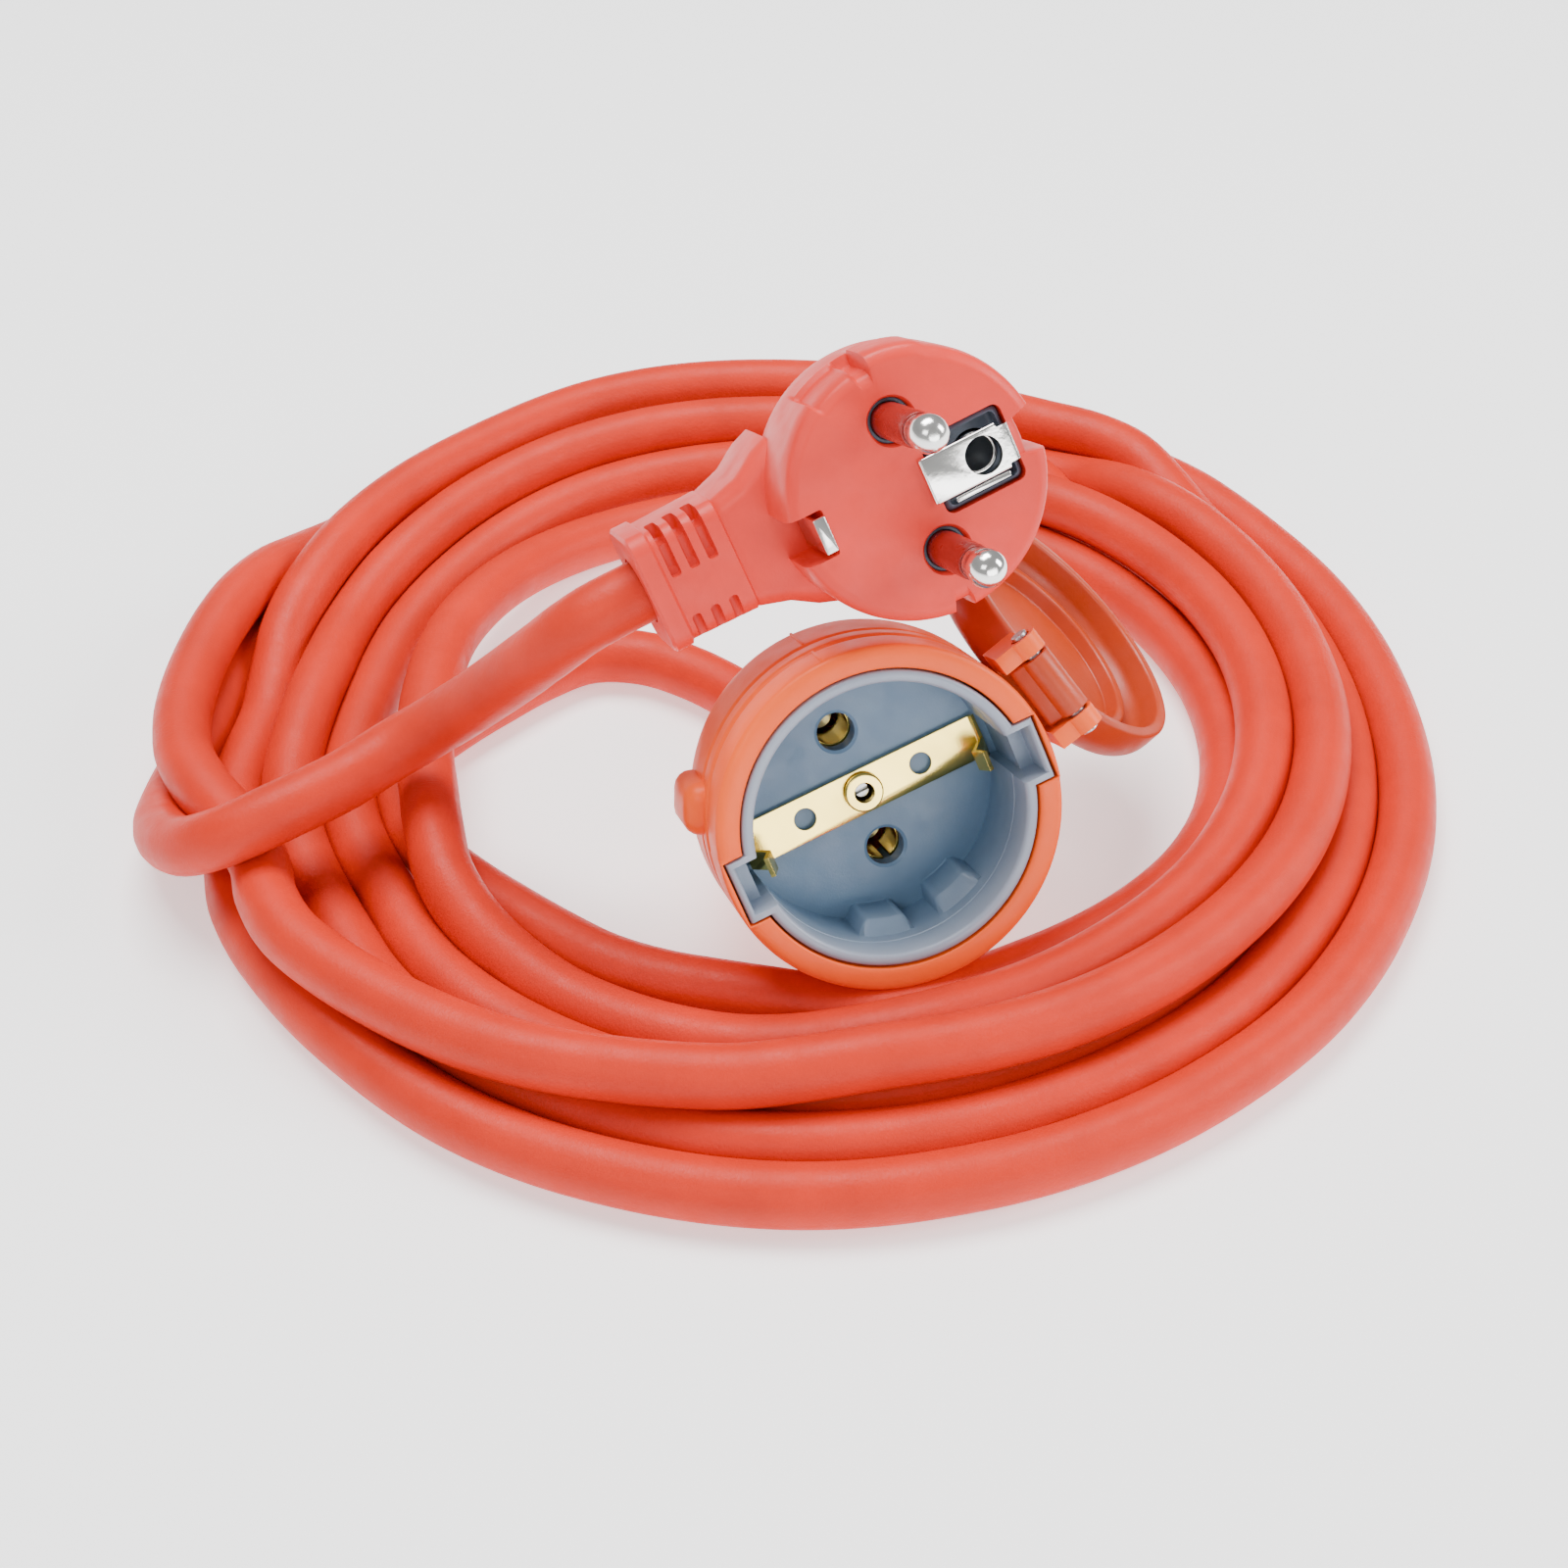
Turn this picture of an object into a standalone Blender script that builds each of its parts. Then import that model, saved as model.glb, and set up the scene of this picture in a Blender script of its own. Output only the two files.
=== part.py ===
"""Extension cord: an angled earthed plug, a coil of round cord and a trailing socket with a hinged lid.

Metres, +Z up, the object lies on z = 0.  The row origin is under the middle of the trailing socket.
The socket and the plug are each modelled on their own axis: local +Z points out of the mouth or the
plug face, that face is local z = 0, and local X is the earth direction.  An empty then places each one.
"""
import math

import bmesh
import bpy
from mathutils import Matrix, Vector

MM = 0.001

# ---- placement -------------------------------------------------------------------------------
SOCKET_AT = Vector((-0.0054, -0.0263, 0.0318))
SOCKET_TURN = (14.0, 24.8, 17.4)        # azimuth, elevation and roll of the mouth, degrees
PLUG_AT = Vector((-0.0024, -0.0092, 0.0755))
PLUG_TURN = (15.5, 25.5, 18.0)
COIL_AT = Vector((-0.0172, 0.0258, 0.0))

# ---- cord ------------------------------------------------------------------------------------
CORD_R = 4.5 * MM
GAP = 0.3                               # between touching pieces, millimetres
COIL_INNER = 59.0                       # radii and top of the coil's solid, millimetres
COIL_OUTER = 97.0
COIL_TOP = 18.2

# ---- trailing socket, millimetres ------------------------------------------------------------
RING_R = 24.8
RING_LEN = 7.4
INSERT_R = 21.2
WELL_R = 19.5
WELL_DEPTH = 17.5
PIN_PITCH = 19.0                   # centre to centre of the two pin holes
PIN_HOLE_R = 2.8
KEYWAY_WIDTH = 7.4
KEYWAY_REACH = 22.6
BOOT_END = 58.0

# ---- lid and hinge, millimetres --------------------------------------------------------------
LID_R = 21.9
LID_WALL = 1.9
LID_DEPTH = 8.0
LID_SEAT = 0.4                     # height of the closed lid's edge over the mouth plane
HINGE_R = 29.7
HINGE_Z = -2.0
HINGE_ANGLE = 14.0                      # place of the hinge round the mouth, degrees from local X
HINGE_SKEW = 8.0                        # lean of the pin out of the mouth plane, degrees
LID_OPEN = 245.0                        # swing from closed to folded back, degrees
HINGE_PIN_R = 1.2

# ---- plug, millimetres -----------------------------------------------------------------------
PLUG_R = 18.5
PLUG_PIN_R = 2.4
PLUG_PIN_LEN = 19.0
SLEEVE_LEN = 11.0
NECK_DEPTH = 19.0                  # the neck's axis behind the plug face
NECK_START = 24.0
NECK_END = 37.5
NECK_R = 7.3

COLOURS = {
    "housing_orange": ((0.80, 0.16, 0.055), 0.42, 0.0),
    "lid_red": ((0.55, 0.055, 0.018), 0.40, 0.0),
    "plug_coral": ((0.72, 0.095, 0.065), 0.45, 0.0),
    "cord_red": ((0.68, 0.09, 0.045), 0.50, 0.0),
    "insert_grey": ((0.22, 0.30, 0.40), 0.42, 0.0),
    "carrier_navy": ((0.06, 0.07, 0.10), 0.50, 0.0),
    "brass": ((0.78, 0.60, 0.28), 0.28, 1.0),
    "nickel": ((0.72, 0.71, 0.68), 0.24, 1.0),
    "steel": ((0.55, 0.55, 0.56), 0.32, 1.0),
    "wire_brown": ((0.16, 0.06, 0.03), 0.50, 0.0),
    "wire_blue": ((0.03, 0.12, 0.40), 0.50, 0.0),
    "wire_green": ((0.20, 0.42, 0.05), 0.50, 0.0),
}


def clear_scene():
    for obj in list(bpy.data.objects):
        bpy.data.objects.remove(obj, do_unlink=True)


def material(name):
    mat = bpy.data.materials.get(name)
    if mat:
        return mat
    colour, roughness, metallic = COLOURS[name]
    mat = bpy.data.materials.new(name)
    mat.use_nodes = True
    shader = mat.node_tree.nodes["Principled BSDF"]
    shader.inputs["Base Color"].default_value = (*colour, 1.0)
    shader.inputs["Roughness"].default_value = roughness
    shader.inputs["Metallic"].default_value = metallic
    mat.diffuse_color = (*colour, 1.0)
    return mat


clear_scene()
PARTS = bpy.data.collections.new("extension_cord")
CUTTERS = bpy.data.collections.new("cutters")
bpy.context.scene.collection.children.link(PARTS)
bpy.context.scene.collection.children.link(CUTTERS)


def empty(name, matrix, parent=None):
    """An empty that places its children: matrix is its pose in its parent's frame."""
    obj = bpy.data.objects.new(name, None)
    PARTS.objects.link(obj)
    obj.parent = parent
    obj.matrix_local = matrix
    return obj


def pose(at, turn):
    """Local +Z is turned to an azimuth from -Y and an elevation, after a roll about itself."""
    azimuth, elevation, roll = (math.radians(a) for a in turn)
    tilt = Matrix.Rotation(math.pi / 2 - elevation, 4, "X")
    return (Matrix.Translation(at) @ Matrix.Rotation(azimuth, 4, "Z") @ tilt
            @ Matrix.Rotation(roll, 4, "Z"))


def link(name, mesh, parent, colour=None, matrix=None):
    """Make a mesh into a part, or into a hidden cutter when it has no colour."""
    obj = bpy.data.objects.new(name, mesh)
    if colour:
        PARTS.objects.link(obj)
        mesh.materials.append(material(colour))
        mesh.shade_smooth()
        mesh.set_sharp_from_angle(angle=math.radians(35))
    else:
        CUTTERS.objects.link(obj)
        obj.hide_render = True
        obj.display_type = "WIRE"
    obj.parent = parent
    obj.matrix_local = matrix or Matrix()
    return obj


def bm_mesh(name, bm):
    bmesh.ops.recalc_face_normals(bm, faces=bm.faces)
    mesh = bpy.data.meshes.new(name)
    bm.to_mesh(mesh)
    bm.free()
    return mesh


def box(name, low, high, parent, colour=None, matrix=None):
    """A box between two corners, given in the parent's frame, in millimetres."""
    bm = bmesh.new()
    bmesh.ops.create_cube(bm, size=1.0)
    size = [(h - l) * MM for l, h in zip(low, high)]
    centre = [(h + l) * MM / 2 for l, h in zip(low, high)]
    bmesh.ops.scale(bm, vec=size, verts=bm.verts)
    bmesh.ops.translate(bm, vec=centre, verts=bm.verts)
    return link(name, bm_mesh(name, bm), parent, colour, matrix)


def rod(name, radius, start, end, parent, colour=None, segments=24, matrix=None):
    """A cylinder between two points, given in the parent's frame, in millimetres."""
    a = Vector(start) * MM
    b = Vector(end) * MM
    bm = bmesh.new()
    bmesh.ops.create_cone(bm, cap_ends=True, segments=segments, radius1=radius * MM,
                          radius2=radius * MM, depth=(b - a).length)
    turn = (b - a).to_track_quat("Z", "Y").to_matrix().to_4x4()
    bmesh.ops.transform(bm, matrix=Matrix.Translation((a + b) / 2) @ turn, verts=bm.verts)
    return link(name, bm_mesh(name, bm), parent, colour, matrix)


def turned(name, profile, parent, colour=None, segments=48, closed=False, matrix=None):
    """A profile of (radius, z) in millimetres, outer side first and top to bottom, turned about Z."""
    bm = bmesh.new()
    verts = [bm.verts.new((r * MM, 0.0, z * MM)) for r, z in profile]
    for first, second in zip(verts, verts[1:]):
        bm.edges.new((first, second))
    if closed:
        bm.edges.new((verts[-1], verts[0]))
    mesh = bpy.data.meshes.new(name)
    bm.to_mesh(mesh)
    bm.free()
    obj = link(name, mesh, parent, colour, matrix)
    screw = obj.modifiers.new("turn", "SCREW")
    screw.axis = "Z"
    screw.steps = segments
    screw.render_steps = segments
    screw.use_merge_vertices = True
    screw.merge_threshold = 0.00001
    screw.use_smooth_shade = True
    return obj


def boolean(obj, other, operation="DIFFERENCE"):
    mod = obj.modifiers.new(operation.lower(), "BOOLEAN")
    mod.operation = operation
    mod.object = other
    mod.solver = "EXACT"
    return obj


def cut(obj, *cutters):
    for cutter in cutters:
        boolean(obj, cutter)


def join(obj, *others):
    for other in others:
        boolean(obj, other, "UNION")


def tube(name, points, radius, colour, parent=None, resolution=3):
    """A round cord through points in metres, as a poly curve with filled ends."""
    curve = bpy.data.curves.new(name, "CURVE")
    curve.dimensions = "3D"
    curve.bevel_depth = radius
    curve.bevel_resolution = resolution
    curve.use_fill_caps = True
    spline = curve.splines.new("POLY")
    spline.points.add(len(points) - 1)
    for slot, point in zip(spline.points, points):
        slot.co = (*point, 1.0)
    curve.materials.append(material(colour))
    obj = bpy.data.objects.new(name, curve)
    PARTS.objects.link(obj)
    obj.parent = parent
    return obj


def smooth(route, step):
    """Points about one step apart along a Catmull-Rom curve through the route's own points."""
    pts = [Vector(p) for p in route]
    pts = [pts[0] * 2 - pts[1]] + pts + [pts[-1] * 2 - pts[-2]]
    out = [pts[1]]
    for a, b, c, d in zip(pts, pts[1:], pts[2:], pts[3:]):
        count = max(1, round((c - b).length / step))
        for i in range(1, count + 1):
            t = i / count
            out.append(0.5 * ((2 * b) + (c - a) * t + (2 * a - 5 * b + 4 * c - d) * t * t
                              + (3 * b - a - 3 * c + d) * t ** 3))
    return out


socket = empty("socket_frame", pose(SOCKET_AT, SOCKET_TURN))
plug = empty("plug_frame", pose(PLUG_AT, PLUG_TURN))


# ---- trailing socket: shells -----------------------------------------------------------------
KEYWAY_WALL = 1.1
KEY_HALF = KEYWAY_WIDTH / 2
LOBE_HALF = KEY_HALF + KEYWAY_WALL
LOBE_REACH = KEYWAY_REACH + KEYWAY_WALL
PIN_Y = PIN_PITCH / 2
FLOOR = -WELL_DEPTH

front_ring = turned("front_ring", [(RING_R - 1.2, 0.0), (RING_R, -1.2), (RING_R, -RING_LEN + 0.5),
                                   (RING_R - 0.6, -RING_LEN), (INSERT_R + GAP, -RING_LEN),
                                   (INSERT_R + GAP, 0.0)], socket, "housing_orange", closed=True)
cut(front_ring, box("ring_keyways", (-LOBE_REACH - GAP, -LOBE_HALF - GAP, -8.0),
                    (LOBE_REACH + GAP, LOBE_HALF + GAP, 1.0), socket))

housing = turned("rear_housing", [(RING_R - 0.9, -RING_LEN - GAP), (RING_R, -8.6), (RING_R, -20.5),
                                  (23.0, -26.0), (19.5, -32.5), (15.0, -41.0), (10.5, -49.0), (9.2, -51.9),
                                  (5.2, -51.9), (5.2, -49.6), (8.2, -48.4), (12.8, -40.3), (17.3, -31.8),
                                  (20.8, -25.4), (22.6, -20.3), (22.6, -RING_LEN - GAP)],
                 socket, "housing_orange", closed=True)
latch = rod("latch_lug", 4.2, (-23.2, 10.4, -17.0), (-23.2, 10.4, -9.5), socket)
join(housing, latch)
cut(housing, turned("latch_trim", [(22.6, -7.0), (22.6, -22.0), (0.0, -22.0), (0.0, -7.0)], socket,
                    closed=False))

boot = turned("cord_boot", [(8.8, -52.2), (8.4, -54.0), (7.4, -54.3), (7.4, -55.1), (7.9, -55.4),
                            (7.6, -56.2), (6.7, -56.5), (6.6, -BOOT_END), (4.85, -BOOT_END), (4.85, -52.2)],
              socket, "housing_orange", segments=32, closed=True)

# ---- trailing socket: insert and contacts ----------------------------------------------------
insert = turned("socket_insert", [(0.0, 0.0), (INSERT_R - 0.4, 0.0), (INSERT_R, -0.4), (INSERT_R, -20.5),
                                  (0.0, -20.5)], socket, "insert_grey", segments=64)
join(insert, box("insert_lobes", (-LOBE_REACH, -LOBE_HALF, -7.0), (LOBE_REACH, LOBE_HALF, -0.05), socket))
cut(insert,
    turned("well", [(0.0, 1.0), (WELL_R + 0.4, 1.0), (WELL_R + 0.4, -0.6), (WELL_R, -1.0), (WELL_R, FLOOR),
                    (0.0, FLOOR)], socket,
           segments=64),
    box("keyway_front", (-KEYWAY_REACH, -KEY_HALF, -6.0), (KEYWAY_REACH, KEY_HALF, 1.0), socket),
    box("keyway_deep", (-20.5, -KEY_HALF, FLOOR + 0.2), (20.5, KEY_HALF, -5.0), socket))
RIB_ANGLES = (72.0, 108.0, -72.0, -108.0)
for number, angle in enumerate(RIB_ANGLES):
    join(insert, box(f"rib_{number}", (17.2, -3.3, FLOOR - 1.0), (20.4, 3.3, -9.5), socket,
                     matrix=Matrix.Rotation(math.radians(angle), 4, "Z")))
for side in (1, -1):
    cut(insert, rod(f"pin_hole_{side}", PIN_HOLE_R, (0, side * PIN_Y, -22), (0, side * PIN_Y, -16), socket))
cut(insert, rod("eyelet_hole", 2.1, (0, 0, -22), (0, 0, -16), socket))

block = turned("contact_block", [(0.0, -20.8), (17.5, -20.8), (17.5, -28.5), (0.0, -28.5)], socket,
               "insert_grey", segments=32)
for side in (1, -1):
    cut(block, rod(f"contact_bore_{side}", 3.9, (0, side * PIN_Y, -30), (0, side * PIN_Y, -20), socket))
cut(block, rod("screw_bore", 2.2, (0, 0, -30), (0, 0, -20), socket))

for side, name in ((1, "live"), (-1, "neutral")):
    sleeve = turned(f"socket_contact_{name}", [(3.5, -21.2), (3.5, -28.0), (2.6, -28.0), (2.6, -21.2)],
                    socket, "brass", segments=24, closed=True,
                    matrix=Matrix.Translation((0, side * PIN_Y * MM, 0)))
    cut(sleeve, box(f"contact_slit_{name}", (-0.5, side * PIN_Y, -29), (0.5, side * (PIN_Y + 5), -20), socket)
        if side > 0 else
        box(f"contact_slit_{name}", (-0.5, -PIN_Y - 5, -29), (0.5, -PIN_Y, -20), socket))
    screw = rod(f"terminal_screw_{name}", 2.1, (0, side * PIN_Y, -31.4), (0, side * PIN_Y, -28.8), socket,
                "steel")
    cut(screw, box(f"terminal_slot_{name}", (-3, side * PIN_Y - 0.3, -32), (3, side * PIN_Y + 0.3, -30.7),
                   socket))


def earth_bracket():
    """A brass strip across the well floor; half its width rises at each end as a spring finger."""
    path = [(-17.4, -9.6), (-16.4, -12.0), (-18.9, -16.2), (-18.4, -16.8), (18.4, -16.8), (18.9, -16.2),
            (16.4, -12.0), (17.4, -9.6)]
    columns = (-3.3, -0.3, 3.3)
    bm = bmesh.new()
    rows = [[bm.verts.new((x * MM, y * MM, z * MM)) for y in columns] for x, z in path]
    last = len(path) - 1
    for i in range(last):
        finger = i < 2 or i >= last - 2
        for j in range(1 if finger else 2):
            bm.faces.new((rows[i][j], rows[i + 1][j], rows[i + 1][j + 1], rows[i][j + 1]))
    loose = [v for v in bm.verts if not v.link_faces]
    bmesh.ops.delete(bm, geom=loose, context="VERTS")
    mesh = bm_mesh("earth_bracket", bm)
    obj = link("earth_bracket", mesh, socket, "brass")
    thick = obj.modifiers.new("sheet", "SOLIDIFY")
    thick.thickness = 0.7 * MM
    thick.offset = 0.0
    return obj


bracket = earth_bracket()
for number, (x, radius) in enumerate(((-9.3, 1.65), (9.3, 1.65), (0.0, 2.05))):
    cut(bracket, rod(f"bracket_hole_{number}", radius, (x, 0, -18), (x, 0, -15), socket))
turned("earth_eyelet", [(1.45, -15.4), (2.7, -15.4), (2.9, -15.6), (2.9, -16.1), (1.75, -16.1), (1.75, -20.2),
                        (1.45, -20.2)], socket, "brass", segments=24, closed=True)
earth_screw = rod("earth_screw", 1.1, (0, 0, -29.5), (0, 0, -17.2), socket, "steel", segments=16)
cut(earth_screw, box("earth_slot", (-2, -0.2, -17.8), (2, 0.2, -17.0), socket))

# ---- trailing socket: clamp and conductors ---------------------------------------------------
for side, name in ((1, "upper"), (-1, "lower")):
    ys = sorted((side * 4.9, side * 7.2))
    bar = box(f"clamp_bar_{name}", (-7.2, ys[0], -44.0), (7.2, ys[1], -40.6), socket, "steel")
    for x in (-5.8, 5.8):
        cut(bar, rod(f"clamp_hole_{name}_{x}", 1.35, (x, ys[0] - 1, -42.3), (x, ys[1] + 1, -42.3), socket,
                     segments=16))
for x, name in ((-5.8, "a"), (5.8, "b")):
    rod(f"clamp_screw_{name}", 1.0, (x, -8.0, -42.3), (x, 8.0, -42.3), socket, "steel", segments=16)

SOCKET_WIRES = {
    "socket_wire_live": ("wire_brown", [(0, 9.5, -32.0), (0, 8.6, -33.6), (-1.0, 3.4, -35.4),
                                        (-1.2, 2.1, -37.5)]),
    "socket_wire_neutral": ("wire_blue", [(0, -9.5, -32.0), (0, -8.6, -33.6), (-1.0, -3.4, -35.4),
                                          (-1.2, -2.1, -37.5)]),
    "socket_wire_earth": ("wire_green", [(0, 0, -30.0), (0.8, 0, -31.6), (2.3, 0, -34.2), (2.3, 0, -37.6)]),
}
for name, (colour, points) in SOCKET_WIRES.items():
    tube(name, [Vector(p) * MM for p in points], 1.15 * MM, colour, socket, resolution=2)

# ---- hinge and lid ---------------------------------------------------------------------------
hinge_turn = math.radians(HINGE_ANGLE)
hinge_lean = math.radians(HINGE_SKEW)
HINGE_AT = Vector((HINGE_R * math.cos(hinge_turn), HINGE_R * math.sin(hinge_turn), HINGE_Z)) * MM
HINGE_AXIS = Vector((-math.sin(hinge_turn) * math.cos(hinge_lean),
                     math.cos(hinge_turn) * math.cos(hinge_lean), -math.sin(hinge_lean)))
out = Vector((math.cos(hinge_turn), math.sin(hinge_turn), 0.0))
up = out.cross(HINGE_AXIS)
knuckle_frame = Matrix((out, HINGE_AXIS, up)).transposed().to_4x4()
knuckle_frame.translation = HINGE_AT

# knuckle frame: X out of the ring, Y along the pin, Z towards the mouth
base = box("hinge_bracket", (-4.85, -8.0, -7.0), (-3.6, 8.0, -5.2), socket, "housing_orange", knuckle_frame)
for side in (1, -1):
    ys = sorted((side * 5.3, side * 8.0))
    join(base,
         box(f"lug_{side}", (-4.8, ys[0], -6.9), (0.3, ys[1], 1.4), socket, matrix=knuckle_frame),
         rod(f"lug_round_{side}", 2.3, (0, ys[0], 0), (0, ys[1], 0), socket, matrix=knuckle_frame))
cut(base, rod("hinge_bore", 1.5, (0, -9, 0), (0, 9, 0), socket, matrix=knuckle_frame, segments=20))
rod("hinge_pin", HINGE_PIN_R, (0, -8.6, 0), (0, 8.6, 0), socket, "steel", segments=20, matrix=knuckle_frame)

lid_hinge = empty("lid_hinge", Matrix.Translation(HINGE_AT)
                  @ Matrix.Rotation(math.radians(LID_OPEN), 4, HINGE_AXIS), socket)
closed = Matrix.Translation(-HINGE_AT)
closed_knuckle = closed @ knuckle_frame
lid_bore = LID_R - LID_WALL
top = LID_SEAT + LID_DEPTH
LID_INSIDE = [(0.0, top - 1.5), (lid_bore - 2.7, top - 1.5), (lid_bore - 1.1, top - 2.2),
              (lid_bore, top - 3.8), (lid_bore, LID_SEAT)]
lid = turned("lid", [(0.0, top), (LID_R - 3.8, top), (LID_R - 1.8, top - 0.9), (LID_R - 0.5, top - 2.4),
                     (LID_R, top - 4.0), (LID_R, LID_SEAT)] + LID_INSIDE[::-1],
             lid_hinge, "lid_red", segments=64, matrix=closed)
join(lid,
     box("lid_arm", (-9.3, -4.9, 2.9), (1.1, 4.9, 4.3), lid_hinge, matrix=closed_knuckle),
     box("lid_web", (-1.1, -4.85, 0.2), (1.05, 4.85, 4.2), lid_hinge, matrix=closed_knuckle),
     rod("lid_knuckle", 2.15, (0, -4.8, 0), (0, 4.8, 0), lid_hinge, matrix=closed_knuckle))
cut(lid, rod("lid_pin_bore", 1.5, (0, -6, 0), (0, 6, 0), lid_hinge, matrix=closed_knuckle, segments=20),
    turned("lid_inside", LID_INSIDE[:-1] + [(lid_bore, -1.0), (0.0, -1.0)], lid_hinge, segments=64,
           matrix=closed))
turned("lid_seal", [(16.9, top - 1.8), (16.9, top - 4.2), (15.4, top - 4.2), (15.4, top - 1.8)], lid_hinge,
       "lid_red", segments=48, closed=True, matrix=closed)

# ---- plug ------------------------------------------------------------------------------------
NECK_Z = -NECK_DEPTH
body = turned("plug_body", [(0.0, 0.0), (PLUG_R - 0.8, 0.0), (PLUG_R, -0.8), (PLUG_R, -15.0), (17.6, -19.5),
                            (14.8, -24.0), (9.0, -26.8), (0.0, -27.6)], plug, "plug_coral")
root = box("neck_root", (-NECK_START, -7.4, NECK_Z - 7.0), (-9.0, 7.4, NECK_Z + 7.4), plug)
soften = root.modifiers.new("soft", "BEVEL")
soften.width = 2.6 * MM
soften.segments = 2
join(body, root)
cut(body,
    box("earth_window", (2.0, -5.4, -14.0), (14.0, 5.4, 1.0), plug),
    box("side_key_neck", (-20.0, -3.1, -11.0), (-13.7, 3.1, 1.0), plug),
    box("side_key_far", (15.0, -3.1, -13.5), (20.0, 3.1, 1.0), plug),
    box("wire_space_neck", (-20.0, -4.8, -22.5), (-6.0, 4.8, -14.5), plug),
    box("wire_space_pins", (-7.0, -11.8, -22.4), (2.4, 11.8, -16.6), plug),
    rod("cord_bore", 4.85, (-26.0, 0, NECK_Z), (-18.0, 0, NECK_Z), plug, segments=32))
for side in (1, -1):
    cut(body, rod(f"plug_pin_bore_{side}", 3.1, (0, side * PIN_Y, -18), (0, side * PIN_Y, 1), plug))

carrier = box("contact_carrier", (2.4, -5.0, -13.6), (13.6, 5.0, -2.3), plug, "carrier_navy")
cut(carrier, rod("receptacle_bore", 3.2, (9.4, 0, -14), (9.4, 0, -2), plug))
turned("earth_receptacle", [(2.9, -2.5), (2.9, -13.0), (2.4, -13.0), (2.4, -2.5)], plug, "nickel",
       segments=24, closed=True, matrix=Matrix.Translation((9.4 * MM, 0, 0)))
plate = box("earth_plate", (2.5, -3.5, -1.9), (13.5, 3.5, -1.1), plug, "nickel")
cut(plate, rod("plate_hole", 2.3, (9.4, 0, -3), (9.4, 0, 0), plug))
box("earth_clip_neck", (-14.9, -2.6, -10.0), (-14.1, 2.6, 0.6), plug, "nickel")
box("earth_clip_far", (15.4, -2.6, -12.0), (16.2, 2.6, -0.6), plug, "nickel")

for side, name in ((1, "live"), (-1, "neutral")):
    at = Matrix.Translation((0, side * PIN_Y * MM, 0))
    turned(f"plug_pin_{name}", [(0.0, PLUG_PIN_LEN), (1.3, PLUG_PIN_LEN - 0.4), (2.1, PLUG_PIN_LEN - 1.4),
                                (PLUG_PIN_R, PLUG_PIN_LEN - 2.8), (PLUG_PIN_R, SLEEVE_LEN + 0.3),
                                (1.8, SLEEVE_LEN + 0.2), (1.8, -11.0), (2.6, -11.2), (2.6, -15.8),
                                (0.0, -15.8)], plug, "nickel",
           segments=24, matrix=at)
    turned(f"pin_sleeve_{name}", [(PLUG_PIN_R, SLEEVE_LEN), (PLUG_PIN_R, -10.7), (2.1, -10.7),
                                  (2.1, SLEEVE_LEN)], plug, "plug_coral", segments=24, closed=True, matrix=at)

neck_axis = Matrix.Translation((0, 0, NECK_Z * MM)) @ Matrix.Rotation(-math.pi / 2, 4, "Y")
neck = turned("plug_neck", [(NECK_R, NECK_END), (NECK_R + 0.6, NECK_END - 0.5),
                            (NECK_R + 0.6, NECK_END - 2.3), (NECK_R, NECK_END - 2.9),
                            (NECK_R, NECK_START + GAP), (4.85, NECK_START + GAP), (4.85, NECK_END)],
              plug, "plug_coral", segments=40, closed=True, matrix=neck_axis)
# three long slots through one flank and three short ones through the other, staggered round the neck
for number, x in enumerate((-32.6, -30.0, -27.4)):
    cut(neck,
        box(f"slot_front_{number}", (x - 0.75, 0.6, NECK_Z + 1.5), (x + 0.75, 9.0, NECK_Z + 9.0), plug),
        box(f"slot_low_{number}", (x - 0.75, -9.0, NECK_Z + 2.4), (x + 0.75, -4.6, NECK_Z + 9.0), plug),
        box(f"slot_back_{number}", (x - 0.75, -4.0, NECK_Z - 9.0), (x + 0.75, 4.0, NECK_Z - 2.5), plug))

PLUG_WIRES = {
    "plug_wire_live": ("wire_brown", [(-17.4, 2.1, -18.4), (-8.0, 2.6, -18.4), (-4.4, 5.0, -18.8),
                                      (-1.4, 8.2, -19.0), (-0.2, 9.4, -17.4)]),
    "plug_wire_neutral": ("wire_blue", [(-17.4, -2.1, -18.4), (-8.0, -2.6, -18.4), (-4.4, -5.0, -18.8),
                                        (-1.4, -8.2, -19.0), (-0.2, -9.4, -17.4)]),
    "plug_wire_earth": ("wire_green", [(-17.4, 0.0, -21.0), (-11.0, 0.0, -21.0), (-4.0, 0.0, -20.6),
                                       (0.6, 0.0, -20.0)]),
}
for name, (colour, points) in PLUG_WIRES.items():
    tube(name, [Vector(p) * MM for p in points], 1.1 * MM, colour, plug, resolution=2)

# ---- cord ------------------------------------------------------------------------------------
socket_pose = pose(SOCKET_AT, SOCKET_TURN)
plug_pose = pose(PLUG_AT, PLUG_TURN)


def socket_point(x, y, z):
    return socket_pose @ (Vector((x, y, z)) * MM)


def plug_point(x, y, z):
    return plug_pose @ (Vector((x, y, z)) * MM)


# the coil's outer shape: one layer high at its edges, two in the middle
turned("cord_coil", [(62.4, 8.0), (68.0, 8.8), (71.5, 13.0), (76.0, COIL_TOP), (86.0, COIL_TOP),
                     (91.5, 16.0), (95.6, 10.6), (COIL_OUTER, 7.0), (96.4, 1.2), (95.0, 0.0), (61.0, 0.0),
                     (59.6, 1.0), (COIL_INNER, 4.2), (60.2, 6.2)], None, "cord_red", segments=48, closed=True,
       matrix=Matrix.Translation(COIL_AT))

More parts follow.
